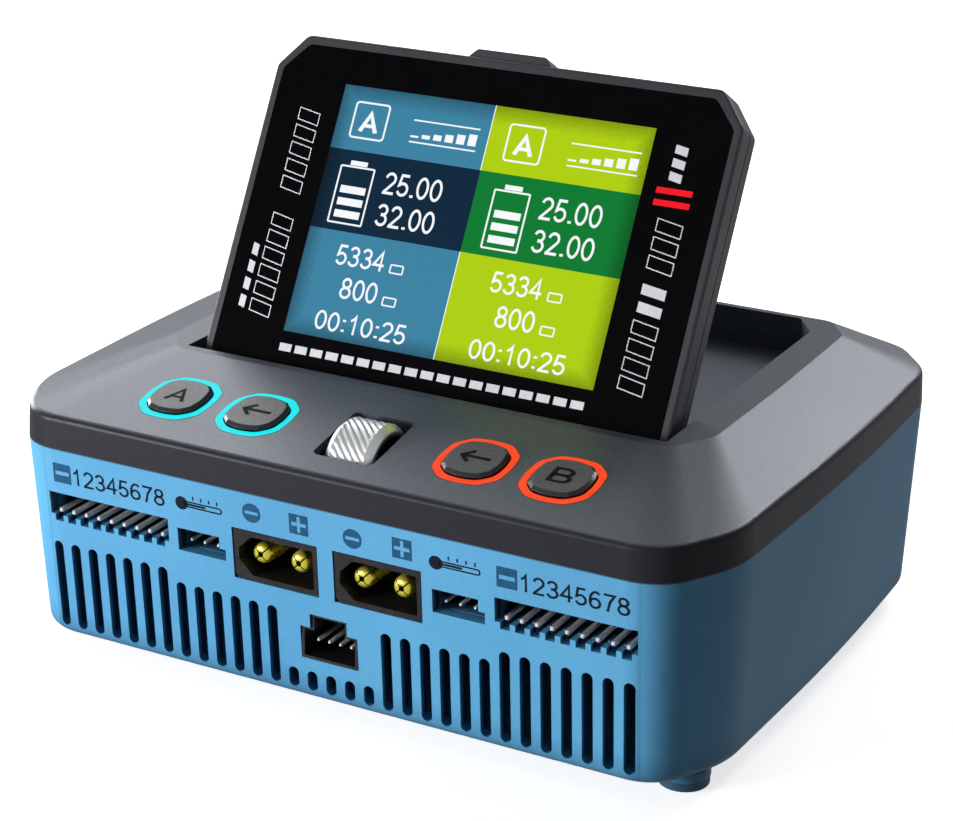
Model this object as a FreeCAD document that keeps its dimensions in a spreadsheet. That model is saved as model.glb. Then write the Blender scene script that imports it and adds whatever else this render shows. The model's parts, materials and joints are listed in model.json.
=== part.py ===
import FreeCAD, Part
import math
import os
import re
import Sketcher
from FreeCAD import Placement, Rotation, Vector

# A dual-output balance battery charger for model batteries: a blue lower case, a grey upper case
# with four lit keys and a roller wheel, and a colour screen that folds flat into the top.
# Frame: X to the right, Y to the back, Z up, origin under the middle of the case at the feet.
# All sizes are in millimetres and angles in degrees.

DRIVING = {
    # case
    "case_wide": 130.0, "case_deep": 104.0, "foot_tall": 3.0, "foot_radius": 4.05,
    "seam_height": 37.3, "band_height": 42.8, "top_height": 47.5, "wall": 2.0,
    "front_draft": 4.3, "side_draft": 1.8, "rear_draft": 2.0,
    "foot_x": 56.0, "foot_y": 39.0,
    # recess for the folded screen
    "recess_half": 44.0, "recess_front": -23.3, "recess_rear": 43.0, "recess_depth": 6.5,
    "recess_chamfer_x": 4.0, "recess_chamfer_y": 6.0, "well_rear": -8.5,
    # screen, measured along its face from the hinge line
    "screen_half": 42.9, "screen_top": 57.1, "screen_thick": 6.8, "face_rise": 5.0,
    "front_shell": 3.6, "end_radius": 5.4, "corner_x": 4.7, "corner_y": 5.8,
    "hinge_y": -16.16, "hinge_z": 43.0, "open_angle": 61.4, "hinge_pin": 1.2,
    "lens_half": 41.4, "lens_top": 55.4, "lens_thick": 0.9, "lens_foot": -1.0,
    "window_half": 28.6, "window_low": 6.5, "window_high": 49.45,
    "lcd_half": 34.6, "lcd_low": 2.4, "lcd_high": 52.0, "lcd_thick": 2.2,
    # keys and their light rings, in the plane of the sloping control panel
    "key_wide": 9.7, "key_long": 10.2, "ring_wide": 12.3, "ring_long": 13.2, "ring_gap": 0.25,
    "key_rise": 0.8, "key_travel": 0.4, "key_outer_x": 34.4, "key_inner_x": 19.7,
    "key_along": 12.4,
    # roller wheel
    "roller_radius": 7.4, "roller_wide": 8.4, "roller_drop": 5.2, "roller_along": 12.3,
    "opening_wide": 10.8, "opening_long": 14.0, "axle_radius": 1.0, "roller_press": 0.5,
    # front connectors
    "output_wide": 15.4, "output_tall": 8.7, "output_x": 9.2, "output_z": 26.3,
    "bullet_radius": 1.75, "bullet_pitch": 7.0, "balance_pitch": 2.5, "balance_a_x": -40.85,
    "balance_b_x": 41.15, "temp_pitch": 2.5,
    "balance_low": 25.35, "balance_high": 29.4, "temp_x": 23.1, "temp_low": 24.35,
    "temp_high": 28.3, "port_low": 10.55, "port_high": 16.0, "port_half": 5.1,
    # vents in the front face
    "vent_pitch": 3.44, "vent_wide": 1.85, "vent_low": 4.7, "vent_tall_top": 20.4,
    "vent_mid_top": 18.4, "vent_small_top": 8.2,
    # boards and what stands on them
    "board_low": 19.6, "board_thick": 1.6, "board_half": 57.0, "board_front": -46.0,
    "board_rear": 35.0, "tongue_half": 17.0, "tongue_rear": 47.0, "sink_wide": 40.0,
    "sink_deep": 46.0, "sink_tall": 11.0, "fin_pitch": 3.2, "fin_thick": 1.2,
    # fans
    "fan_size": 30.0, "fan_thick": 10.0, "fan_x": 34.5, "fan_z": 20.4, "fan_front": 38.3,
    "fan_bore": 13.9, "rotor_radius": 13.3, "fan_hub": 6.0,
    # rear connectors
    "inlet_wide": 21.0, "inlet_tall": 10.8, "inlet_x": -4.5, "inlet_z": 27.0,
    "usb_wide": 9.0, "usb_tall": 3.3, "usb_x": 12.5,
}

doc = FreeCAD.newDocument("charger")
dims = doc.addObject("Spreadsheet::Sheet", "dims")
for row, (alias, number) in enumerate(DRIVING.items(), start=1):
    dims.set("A%d" % row, alias)
    dims.set("B%d" % row, str(number))
    dims.setAlias("B%d" % row, alias)
doc.recompute()


class Sizes:
    """The driving dimensions as numbers, read back from the sheet."""


size = Sizes()
for alias in DRIVING:
    setattr(size, alias, float(dims.get(alias)))

NODES = []


# ---------------------------------------------------------------- helpers

def formula(text):
    """Turn 'case_wide / 2 - wall' into an expression on the sheet's cells."""
    names = r"[a-z][a-z_]+"
    return re.sub(names, lambda m: "dims." + m.group() if m.group() in DRIVING else m.group(),
                  str(text))


def bind(thing, **sizes):
    for name, text in sizes.items():
        thing.setExpression(name, formula(text))


def at(x=0.0, y=0.0, z=0.0, turn=None):
    return Placement(Vector(x, y, z), turn or Rotation())


AXIS_Y = Rotation(Vector(1, 0, 0), -90)


def box(name, wide, deep, tall, place):
    """A block whose three sizes are formulas and whose low corner is at place."""
    block = doc.addObject("Part::Box", name)
    bind(block, Length=wide, Width=deep, Height=tall)
    block.Placement = place
    return block


def rod(name, radius, length, place):
    bar = doc.addObject("Part::Cylinder", name)
    bind(bar, Radius=radius, Height=length)
    bar.Placement = place
    return bar


def fuse(name, *pieces):
    joined = doc.addObject("Part::MultiFuse", name)
    joined.Shapes = list(pieces)
    joined.Refine = True
    return joined


def cut(name, base, *tools):
    carved = doc.addObject("Part::Cut", name)
    carved.Base = base
    carved.Tool = tools[0] if len(tools) == 1 else fuse(name + "_tools", *tools)
    return carved


def group(name, *pieces):
    bunch = doc.addObject("Part::Compound", name)
    bunch.Links = list(pieces)
    return bunch


def made(name, shape, place=None):
    """A piece whose shape comes from Part's own functions."""
    piece = doc.addObject("Part::Feature", name)
    piece.Shape = shape
    if place:
        piece.Placement = place * shape.Placement
    return piece


def node(name, thing):
    thing.Label = name
    NODES.append(thing)
    return thing


def inset(points, distances):
    """Move each side of a convex anticlockwise polygon inwards by its own distance."""
    lines = []
    count = len(points)
    for i in range(count):
        a, b = points[i], points[(i + 1) % count]
        along = (b - a).normalize()
        inward = Vector(-along.y, along.x, 0)
        lines.append((a + inward * distances[i], along))
    moved = []
    for i in range(count):
        (p, u), (q, v) = lines[i - 1], lines[i]
        cross = u.x * v.y - u.y * v.x
        step = ((q.x - p.x) * v.y - (q.y - p.y) * v.x) / cross
        moved.append(p + u * step)
    return moved


def rounded(points, radii, z=0.0):
    """A closed wire through the points, each corner rounded by its radius."""
    starts, mids, ends = [], [], []
    count = len(points)
    for i in range(count):
        before, here, after = points[i - 1], points[i], points[(i + 1) % count]
        back = (before - here).normalize()
        ahead = (after - here).normalize()
        half = back.getAngle(ahead) / 2
        run = radii[i] / math.tan(half)
        middle = (back + ahead).normalize()
        starts.append(here + back * run)
        ends.append(here + ahead * run)
        mids.append(here + middle * (radii[i] / math.sin(half) - radii[i]))
    lift = Vector(0, 0, z)
    edges = []
    for i in range(count):
        edges.append(Part.Arc(starts[i] + lift, mids[i] + lift, ends[i] + lift).toShape())
        edges.append(Part.LineSegment(ends[i] + lift, starts[(i + 1) % count] + lift).toShape())
    return Part.Wire(edges)


def mirrored(half_points):
    """The right half of an outline, front to back, with its left half added."""
    left = [Vector(-p.x, p.y, 0) for p in reversed(half_points)]
    return list(half_points) + left


def prism(wire, tall):
    return Part.Face(wire).extrude(Vector(0, 0, tall))


def rectangle(x_low, x_high, y_low, y_high):
    return [Vector(x_low, y_low, 0), Vector(x_high, y_low, 0),
            Vector(x_high, y_high, 0), Vector(x_low, y_high, 0)]


def block(x_low, x_high, y_low, y_high, z_low, z_high):
    return Part.makeBox(x_high - x_low, y_high - y_low, z_high - z_low,
                        Vector(x_low, y_low, z_low))


def disc(radius, tall, x, y, z, direction=Vector(0, 0, 1)):
    return Part.makeCylinder(radius, tall, Vector(x, y, z), direction)


def edges_at(shape, z, tolerance=1e-3):
    """The edges that lie wholly at one height."""
    return [e for e in shape.Edges
            if all(abs(v.Z - z) < tolerance for v in e.Vertexes)
            and abs(e.BoundBox.ZMax - z) < 0.01 and abs(e.BoundBox.ZMin - z) < 0.01]


# ---------------------------------------------------------------- shared outlines

BASE_Z = size.foot_tall
SEAM_Z = size.seam_height
BAND_Z = size.band_height
TOP_Z = size.top_height
HALF_DEEP = size.case_deep / 2
HALF_WIDE = size.case_wide / 2

SIDE_POINTS = [
    Vector(HALF_WIDE - 8.6, -HALF_DEEP, 0),
    Vector(HALF_WIDE - 1.6, -HALF_DEEP + 12.5, 0),
    Vector(HALF_WIDE + 0.1, 6.0, 0),
    Vector(HALF_WIDE - 0.9, HALF_DEEP - 10.5, 0),
    Vector(HALF_WIDE - 9.0, HALF_DEEP, 0),
]
CASE_RADII = [9.0, 20.0, 600.0, 12.0, 8.0]
RIDGE_POINTS = [
    Vector(45.2, -25.2, 0),
    Vector(49.6, -17.4, 0),
    Vector(50.0, 8.0, 0),
    Vector(49.6, 38.0, 0),
    Vector(45.3, 44.3, 0),
]
RIDGE_RADII = [4.0, 6.0, 300.0, 3.0, 3.0]


def both_sides(values):
    return list(values) + list(reversed(values))


def case_ring(z, wall=0.0):
    """The case's outline at a height below the seam, or that of its inside, a wall further in."""
    drop = SEAM_Z - z
    front = drop * math.tan(math.radians(size.front_draft)) + wall
    side = drop * math.tan(math.radians(size.side_draft)) + wall
    rear = drop * math.tan(math.radians(size.rear_draft)) + wall
    corner = (front + side) / 2
    moves = [corner, side, side, (side + rear) / 2, rear,
             (side + rear) / 2, side, side, corner, front]
    radii = [r - wall for r in both_sides(CASE_RADII)]
    return rounded(inset(mirrored(SIDE_POINTS), moves), radii, z)


def upper_ring(z, wall):
    """The band's outline above the seam: it leans in by a degree or so."""
    lean = (z - SEAM_Z) * math.tan(math.radians(3.0))
    radii = [r - wall for r in both_sides(CASE_RADII)]
    return rounded(inset(mirrored(SIDE_POINTS), [lean + wall] * 10), radii, z)


def ridge_ring(z, wall=0.0):
    radii = [r - min(wall, 2.0) for r in both_sides(RIDGE_RADII)]
    return rounded(inset(mirrored(RIDGE_POINTS), [wall] * 10), radii, z)


def loft(*wires):
    return Part.makeLoft(list(wires), True, True)


FRONT_LEAN = math.tan(math.radians(size.front_draft))
REAR_LEAN = math.tan(math.radians(size.rear_draft))


def front_y(z):
    """Where the outer front face is at a height."""
    return -HALF_DEEP + (SEAM_Z - z) * FRONT_LEAN


def rear_y(z):
    return HALF_DEEP - (SEAM_Z - z) * REAR_LEAN


# the sloping control panel: local X to the right, local Y up the slope, local Z out of the panel
PANEL_FOOT = Vector(0, -HALF_DEEP + 0.3, BAND_Z)
PANEL_ANGLE = math.degrees(math.atan2(TOP_Z - BAND_Z, -25.2 - PANEL_FOOT.y))
PANEL = Placement(PANEL_FOOT, Rotation(Vector(1, 0, 0), PANEL_ANGLE))


def on_panel(x, along, out, turn=None):
    return PANEL * at(x, along, out, turn)


# the screen's own frame: X to the right, Y up the screen from the hinge line, Z out of its face
SCREEN = Placement(Vector(0, size.hinge_y, size.hinge_z),
                   Rotation(Vector(1, 0, 0), size.open_angle))
FACE = size.face_rise
BACK = size.face_rise - size.screen_thick
SPLIT = FACE - size.front_shell


# ---------------------------------------------------------------- lower case

def slot_cutter(x, z_low, z_high, wide, y_low, y_high):
    """An upright slot with round ends, cut along Y."""
    r = wide / 2
    body = block(x - r, x + r, y_low, y_high, z_low + r, z_high - r)
    ends = [disc(r, y_high - y_low, x, y_low, z, Vector(0, 1, 0)) for z in (z_low + r, z_high - r)]
    return body.fuse(ends)


BALANCE_X = {-1: size.balance_a_x, 1: size.balance_b_x}


def vent_top(index):
    """The slots' tops step down towards the middle, clear of the connectors above."""
    place = abs(index)
    if place <= 2:
        return size.vent_small_top
    if place <= 8:
        return size.vent_mid_top
    return size.vent_tall_top


def front_openings():
    y_low, y_high = -HALF_DEEP - 1, -HALF_DEEP + 6
    tools = []
    for i in range(-15, 16):
        tools.append(slot_cutter(i * size.vent_pitch, size.vent_low, vent_top(i),
                                 size.vent_wide, y_low, y_high))
    for side in (-1, 1):
        x = side * size.output_x
        half = size.output_wide / 2 + 0.1
        tall = size.output_tall / 2 + 0.1
        tools.append(block(x - half, x + half, y_low, y_high,
                           size.output_z - tall, size.output_z + tall))
        x = BALANCE_X[side]
        half = 4 * size.balance_pitch + 1.7
        tools.append(block(x - half, x + half, y_low, y_high, size.balance_low, size.balance_high))
        for pin in range(-4, 5):
            slot = x + pin * size.balance_pitch
            tools.append(block(slot - 0.8, slot + 0.8, y_low, y_high,
                               size.balance_low - 1.1, size.balance_low + 0.1))
        x = side * size.temp_x
        tools.append(block(x - 4.3, x + 3.6, y_low, y_high, size.temp_low, size.temp_high))
        tools.append(block(x + 3.5, x + 4.7, y_low, y_high, size.temp_low, size.temp_low + 1.95))
    half = size.port_half + 0.1
    tools.append(block(-half, half, y_low, y_high, size.port_low - 0.1, size.port_high + 0.1))
    tools.append(block(-3.35, 3.35, y_low, y_high, size.port_high, size.port_high + 2.55))
    return tools


def fan_grille(x):
    """Three rings of slots with four spokes left between them."""
    y_low = HALF_DEEP - 8
    rings = []
    for inner in (3.2, 6.6, 10.0):
        outer = disc(inner + 2.2, 12, x, y_low, size.fan_z, Vector(0, 1, 0))
        rings.append(outer.cut(disc(inner, 12, x, y_low, size.fan_z, Vector(0, 1, 0))))
    tool = rings[0].fuse(rings[1:])
    for angle in (45, -45):
        spoke = block(-15, 15, y_low, y_low + 12, -0.8, 0.8)
        spoke.rotate(Vector(0, 0, 0), Vector(0, 1, 0), angle)
        spoke.translate(Vector(x, 0, size.fan_z))
        tool = tool.cut(spoke)
    return tool


def fan_corners(x):
    reach = size.fan_size / 2 - 3.0
    return [(x + i * reach, size.fan_z + k * reach) for i in (-1, 1) for k in (-1, 1)]


def lower_case():
    outer = loft(case_ring(BASE_Z), case_ring(SEAM_Z))
    outer = outer.makeFillet(2.0, edges_at(outer, BASE_Z))
    inner = loft(case_ring(BASE_Z + size.wall, size.wall), case_ring(SEAM_Z + 0.5, size.wall))
    shell = outer.cut(inner)
    posts, holes = [], []
    for i in (-1, 1):
        for k in (-1, 1):
            x, y = i * size.foot_x, k * size.foot_y
            posts.append(disc(3.4, 24.0 - BASE_Z - 0.5, x, y, BASE_Z + 0.5))
            posts.append(disc(size.foot_radius + 0.1, 1.6, x, y, BASE_Z - 1.4))
            holes.append(disc(1.4, 30, x, y, 0))
            holes.append(disc(2.4, 6.0, x, y, 0))
            holes.append(disc(size.foot_radius - 0.9, 2.2, x, y, 0))
    for x, y in BOARD_SPOTS:
        posts.append(disc(2.6, size.board_low - BASE_Z - 0.5, x, y, BASE_Z + 0.5))
        holes.append(disc(0.9, 10, x, y, size.board_low - 8))
    for x in (-size.fan_x, size.fan_x):
        for cx, cz in fan_corners(x):
            stop = rear_y(cz) - 0.5
            start = size.fan_front + size.fan_thick
            posts.append(disc(2.0, stop - start, cx, start, cz, Vector(0, 1, 0)))
            holes.append(disc(0.8, 20, cx, 40, cz, Vector(0, 1, 0)))
    x_inlet, z_inlet = size.inlet_x, size.inlet_z
    half_w, half_t = size.inlet_wide / 2 + 0.1, size.inlet_tall / 2 + 0.1
    holes.append(block(x_inlet - half_w, x_inlet + half_w, 45, 55,
                       z_inlet - half_t, z_inlet + half_t))
    usb = rounded(rectangle(size.usb_x - size.usb_wide / 2 - 0.15,
                            size.usb_x + size.usb_wide / 2 + 0.15,
                            USB_Z - size.usb_tall / 2 - 0.15,
                            USB_Z + size.usb_tall / 2 + 0.15), [1.5] * 4)
    usb_cut = prism(usb, 12)
    usb_cut.rotate(Vector(0, 0, 0), Vector(1, 0, 0), 90)
    usb_cut.translate(Vector(0, 57, 0))
    holes.append(usb_cut)
    grilles = [fan_grille(x) for x in (-size.fan_x, size.fan_x)]
    shell = shell.fuse(posts)
    shell = shell.cut(front_openings() + holes + grilles)
    return shell.removeSplitter()


BOARD_SPOTS = [(i * 50.0, y) for i in (-1, 1) for y in (-31.0, 30.0)]
USB_Z = size.board_low + size.board_thick + size.usb_tall / 2 + 0.05

node("lower_case", made("LowerCase", lower_case()))


# ---------------------------------------------------------------- upper case

def squircle(wide, long, corner, bulge=0.35):
    """A rounded square with slightly bowed sides, centred on the origin."""
    w, k = wide / 2, long / 2
    c = corner
    points = [Vector(c - w, -k + bulge, 0), Vector(0, -k, 0), Vector(w - c, -k + bulge, 0),
              Vector(w - bulge, c - k, 0), Vector(w, 0, 0), Vector(w - bulge, k - c, 0),
              Vector(w - c, k - bulge, 0), Vector(0, k, 0), Vector(c - w, k - bulge, 0),
              Vector(bulge - w, k - c, 0), Vector(-w, 0, 0), Vector(bulge - w, c - k, 0)]
    radii = [3.0, 8.0, 3.0] * 4
    return rounded(points, radii)


KEY_SPOTS = {
    "key_channel_a": -size.key_outer_x,
    "key_back_a": -size.key_inner_x,
    "key_back_b": size.key_inner_x,
    "key_channel_b": size.key_outer_x,
}
RING_CORNER = 2.9
KEY_CORNER = 2.4
RING_DEEP = 3.0
KEY_BOARD_FACE = -7.4
SWITCH_TALL = 2.0
RIBBON_Y = -20.0
PANEL_SPOTS = [(i * 42.3, along) for i in (-1, 1) for along in (8.0, 17.0)]


def tub_outline(grow=0.0):
    """The recess in the top, seen from above, with its two clipped rear corners."""
    x, front, rear = size.recess_half, size.recess_front, size.recess_rear
    points = [Vector(x, front, 0), Vector(x, rear - size.recess_chamfer_y, 0),
              Vector(x - size.recess_chamfer_x, rear, 0)]
    radii = [0.6, 0.8, 0.8]
    return rounded(inset(mirrored(points), [-grow] * 6), [r + grow for r in both_sides(radii)])


def upper_case():
    outer = loft(upper_ring(SEAM_Z, 0), upper_ring(BAND_Z, 0))
    crown = loft(upper_ring(BAND_Z, 0), ridge_ring(TOP_Z))
    outer = outer.fuse(crown).removeSplitter()
    outer = outer.makeFillet(1.1, edges_at(outer, BAND_Z))
    wall = size.wall
    inner = loft(upper_ring(SEAM_Z - 1, wall), upper_ring(BAND_Z - 1.6, wall))
    inner = inner.fuse(loft(upper_ring(BAND_Z - 1.6, wall), ridge_ring(TOP_Z - 2.2, 1.4)))
    shell = outer.cut(inner)
    floor = TOP_Z - size.recess_depth
    well = size.hinge_z - size.end_radius - 0.4
    tub = prism(tub_outline(1.6), size.recess_depth + 1.2)
    tub.translate(Vector(0, 0, floor - 1.6))
    trough = block(-45.4, 45.4, size.recess_front - 1.6, size.well_rear + 1.6, well - 1.5, floor)
    additions = [tub, trough]
    cuts = []
    recess = prism(tub_outline(), size.recess_depth + 2)
    recess.translate(Vector(0, 0, floor))
    cuts.append(recess)
    cuts.append(block(-size.recess_half, size.recess_half, size.recess_front, size.well_rear,
                      well, floor + 1))
    cuts.append(block(-9.5, 9.5, size.recess_rear - 1, size.recess_rear + 1.2,
                      TOP_Z - 3.2, TOP_Z + 1))
    cuts.append(block(-6.5, 6.5, RIBBON_Y - 0.6, RIBBON_Y + 0.8, well - 3, well + 1))
    for side in (-1, 1):
        boss = block(-1.5, 1.5, size.hinge_y - 3.5, size.hinge_y + 3.5,
                     size.hinge_z - 3.5, size.hinge_z + 2.0)
        boss.translate(Vector(side * (size.recess_half + 1.5), 0, 0))
        additions.append(boss)
        cuts.append(disc(size.hinge_pin, 4.0, side * (size.recess_half + 1) - 2.0,
                         size.hinge_y, size.hinge_z, Vector(1, 0, 0)))
    for i in (-1, 1):
        for k in (-1, 1):
            x, y = i * size.foot_x, k * size.foot_y
            additions.append(disc(3.2, SEAM_Z - 24.0, x, y, 24.1))
            additions.append(disc(3.2, 12.0, x, y, SEAM_Z).common(outer))
            cuts.append(disc(1.05, 12.5, x, y, 24.0))
    shell = shell.fuse(additions)
    lip = loft(upper_ring(SEAM_Z - 1.6, wall + 0.2), upper_ring(SEAM_Z, wall + 0.2))
    lip = lip.fuse(loft(upper_ring(SEAM_Z, wall - 0.3), upper_ring(SEAM_Z + 1.0, wall - 0.3)))
    lip = lip.cut(loft(upper_ring(SEAM_Z - 2.0, wall + 1.3), upper_ring(SEAM_Z + 1.1, wall + 1.3)))
    notches = [block(x - 13.6, x + 13.6, -52, -44, SEAM_Z - 3, SEAM_Z) for x in (-41, 41)]
    lip = lip.cut(notches)
    shell = shell.fuse(lip)
    for x in KEY_SPOTS.values():
        hole = prism(squircle(size.ring_wide + 0.1, size.ring_long + 0.1, RING_CORNER), 8)
        hole.Placement = on_panel(x, size.key_along, -5)
        cuts.append(hole)
    for x, along in PANEL_SPOTS:
        boss = disc(1.7, -KEY_BOARD_FACE - 1.0, 0, 0, KEY_BOARD_FACE)
        boss.Placement = on_panel(x, along, 0) * boss.Placement
        shell = shell.fuse(boss)
        pilot = disc(0.7, 5.0, 0, 0, KEY_BOARD_FACE - 0.1)
        pilot.Placement = on_panel(x, along, 0) * pilot.Placement
        cuts.append(pilot)
    opening = prism(rounded(rectangle(-size.opening_wide / 2, size.opening_wide / 2,
                                      -size.opening_long / 2, size.opening_long / 2),
                            [1.2] * 4), 8)
    opening.Placement = on_panel(0, size.roller_along, -5)
    cuts.append(opening)
    for sink in (0, size.roller_press):
        room = disc(size.roller_radius + 0.35, 9.4, -4.7, 0, 0, Vector(1, 0, 0))
        room.Placement = on_panel(0, size.roller_along, -size.roller_drop - sink) * room.Placement
        cuts.append(room)
    return shell.cut(cuts).removeSplitter()


node("upper_case", made("UpperCase", upper_case()))


# ---------------------------------------------------------------- feet and case screws

def at_corners(maker):
    return [maker(i * size.foot_x, k * size.foot_y) for k in (-1, 1) for i in (-1, 1)]


def foot(x, y):
    pad = disc(size.foot_radius, 1.6, x, y, 0)
    pad = pad.makeFillet(0.35, edges_at(pad, 0))
    return pad.fuse(disc(size.foot_radius - 1.0, 1.7, x, y, 0.4))


def screw(x, y, z, radius, length, head_radius, head_tall):
    """A pan-head screw pointing up, its head's underside at z."""
    head = disc(head_radius, head_tall, x, y, z - head_tall)
    head = head.makeFillet(head_tall * 0.3, edges_at(head, z - head_tall))
    shank = disc(radius, length, x, y, z)
    slot = block(x - head_radius * 0.55, x + head_radius * 0.55, y - 0.25, y + 0.25,
                 z - head_tall - 0.1, z - head_tall * 0.4)
    cross = block(x - 0.25, x + 0.25, y - head_radius * 0.55, y + head_radius * 0.55,
                  z - head_tall - 0.1, z - head_tall * 0.4)
    return head.fuse(shank).cut([slot, cross])


node("feet", made("Feet", Part.makeCompound(at_corners(foot))))
node("case_screws", made("CaseScrews", Part.makeCompound(
    at_corners(lambda x, y: screw(x, y, 6.0, 1.0, 30.0, 2.2, 1.7)))))


# ---------------------------------------------------------------- screen

def screen_outline(grow=0.0, foot=None):
    """The screen seen face on, its two upper corners clipped."""
    x, top = size.screen_half, size.screen_top
    low = -size.end_radius if foot is None else foot
    points = [Vector(x, low, 0), Vector(x, top - size.corner_y, 0),
              Vector(x - size.corner_x, top, 0)]
    radii = [0.5, 2.0, 2.0]
    ring = inset(mirrored(points), [-grow] * 6)
    return rounded(ring, [max(r + grow, 0.3) for r in both_sides(radii)])


def plate(wire, low, high):
    sheet = prism(wire, high - low)
    sheet.translate(Vector(0, 0, low))
    return sheet


def end_round():
    """The space that the screen's rounded lower end may fill, and all above it."""
    barrel = disc(size.end_radius, 2 * size.screen_half + 4, -size.screen_half - 2, 0, 0,
                  Vector(1, 0, 0))
    above = block(-60, 60, 0, 80, -20, 20)
    return barrel.fuse(above)


def finger_tab():
    points = [Vector(-7.7, size.screen_top - 1.0, 0), Vector(7.7, size.screen_top - 1.0, 0),
              Vector(7.7, size.screen_top, 0), Vector(6.3, size.screen_top + 1.5, 0),
              Vector(-6.3, size.screen_top + 1.5, 0), Vector(-7.7, size.screen_top, 0)]
    return rounded(points, [0.2, 0.2, 0.4, 0.8, 0.8, 0.4])


def lens_outline(grow=0.0):
    x, top, low = size.lens_half, size.lens_top, size.lens_foot
    points = [Vector(x, low, 0), Vector(x, top - 4.6, 0), Vector(x - 4.1, top, 0)]
    ring = inset(mirrored(points), [-grow] * 6)
    return rounded(ring, [r + grow for r in both_sides([0.4, 1.6, 1.6])])


def lcd_outline(grow=0.0):
    return rounded(inset(rectangle(-size.lcd_half, size.lcd_half, size.lcd_low, size.lcd_high),
                         [-grow] * 4), [0.4 + grow] * 4)


LENS_BACK = FACE - size.lens_thick
LCD_FACE = LENS_BACK - 0.6
LCD_BACK = LCD_FACE - size.lcd_thick
SCREEN_SPOTS = [(i * 39.4, s) for i in (-1, 1) for s in (9.0, 47.0)]


def screen_front():
    body = plate(screen_outline(), SPLIT, FACE)
    body = body.makeFillet(0.5, edges_at(body, FACE))
    body = body.common(end_round()).fuse(plate(finger_tab(), SPLIT, FACE - 0.7))
    cuts = [plate(lens_outline(0.06), LENS_BACK, FACE + 1)]
    window = rounded(rectangle(-size.window_half - 0.6, size.window_half + 0.6,
                               size.window_low - 0.6, size.window_high + 0.6), [0.6] * 4)
    cuts.append(plate(window, SPLIT - 1, FACE))
    cuts.append(plate(lcd_outline(0.15), SPLIT - 1, LCD_FACE))
    for x, s in SCREEN_SPOTS:
        cuts.append(disc(0.65, 2.6, x, s, SPLIT - 0.1))
    for x in (-1, 1):
        cuts.append(disc(size.hinge_pin + 0.5, 5.6, x * 40.3 - 2.8, 0, 0, Vector(1, 0, 0)))
    return body.cut(cuts)


def screen_back():
    body = plate(screen_outline(), BACK, SPLIT)
    body = body.makeFillet(0.8, edges_at(body, BACK))
    groove = plate(screen_outline(1), SPLIT - 0.25, SPLIT).cut(plate(screen_outline(-0.35),
                                                                      SPLIT - 1, SPLIT + 1))
    body = body.cut(groove)
    body = body.common(end_round()).fuse(plate(finger_tab(), SPLIT - 1.4, SPLIT))
    pocket = rounded(rectangle(-36.4, 36.4, 1.8, 53.6), [1.5] * 4)
    cuts = [plate(pocket, BACK + 1.3, SPLIT + 1)]
    for i in (-1, 1):
        cuts.append(disc(size.hinge_pin + 0.04, 5.2, i * 40.9 - 2.6, 0, 0, Vector(1, 0, 0)))
    for x, s in SCREEN_SPOTS:
        cuts.append(disc(0.9, 10, x, s, BACK - 1))
        cuts.append(disc(1.7, 1.3, x, s, BACK - 0.1))
    cable = block(-7, 7, -4, 2.2, BACK + 1.3, SPLIT - 1.2)
    cuts.append(cable)
    cuts.append(block(-7, 7, -7, -2.0, BACK + 0.6, SPLIT - 1.2))
    return body.cut(cuts)


node("screen_front_frame", made("ScreenFront", screen_front(), SCREEN))
node("screen_back_cover", made("ScreenBack", screen_back(), SCREEN))
node("screen_lens", made("ScreenLens", plate(lens_outline(), LENS_BACK, FACE), SCREEN))
node("lcd_panel", made("LcdPanel", plate(lcd_outline(), LCD_BACK, LCD_FACE), SCREEN))


def display_board():
    face = LCD_BACK - 0.1
    sheet = plate(rounded(rectangle(-34.0, 34.0, 2.6, 52.0), [1.0] * 4), face - 1.0, face)
    return sheet.cut([disc(1.0, 4, i * 31.0, s, face - 2) for i in (-1, 1) for s in (6.0, 48.5)])


node("display_board", made("DisplayBoard", display_board(), SCREEN))


def screen_screws():
    screws = []
    for x, s in SCREEN_SPOTS:
        screws.append(screw(x, s, BACK + 1.2, 0.6, 4.2, 1.5, 0.9))
    return Part.makeCompound(screws)


node("screen_screws", made("ScreenScrews", screen_screws(), SCREEN))


def hinge_pin(side):
    """A stepped steel pin: its head is inside the case, its nose in the screen."""
    tip = side * 39.0
    shank = disc(size.hinge_pin - 0.01, 8.3, tip, 0, 0, Vector(side, 0, 0))
    head = disc(size.hinge_pin + 0.9, 1.0, side * 47.05, 0, 0, Vector(side, 0, 0))
    return shank.fuse(head)


node("hinge_pins", made("HingePins", Part.makeCompound([hinge_pin(-1), hinge_pin(1)]),
                        at(0, size.hinge_y, size.hinge_z)))


# ---------------------------------------------------------------- keys


def key_cap():
    """Local Z is out of the panel; the flange under the ring keeps the cap in."""
    body = plate(squircle(size.key_wide, size.key_long, KEY_CORNER), -3.9, size.key_rise)
    body = body.makeChamfer(0.45, edges_at(body, size.key_rise))
    flange = plate(squircle(size.key_wide + 1.4, size.key_long + 1.4, RING_CORNER), -3.9, -3.2)
    tip = KEY_BOARD_FACE + SWITCH_TALL + size.key_travel + 0.02
    return body.fuse([flange, disc(1.5, -3.5 - tip, 0, 0, tip)]).removeSplitter()


def light_ring():
    outer = squircle(size.ring_wide, size.ring_long, RING_CORNER)
    inner = squircle(size.key_wide + 2 * size.ring_gap, size.key_long + 2 * size.ring_gap,
                     KEY_CORNER)
    return plate(outer, -RING_DEEP, 0.05).cut(plate(inner, -RING_DEEP - 1, 1))


for name, x in KEY_SPOTS.items():
    node(name, made(name, key_cap(), on_panel(x, size.key_along, 0)))


def ring_pair(name, spots):
    rings = []
    for x in spots:
        ring = light_ring()
        ring.Placement = on_panel(x, size.key_along, 0)
        rings.append(ring)
    node(name, made(name, Part.makeCompound(rings)))


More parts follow.
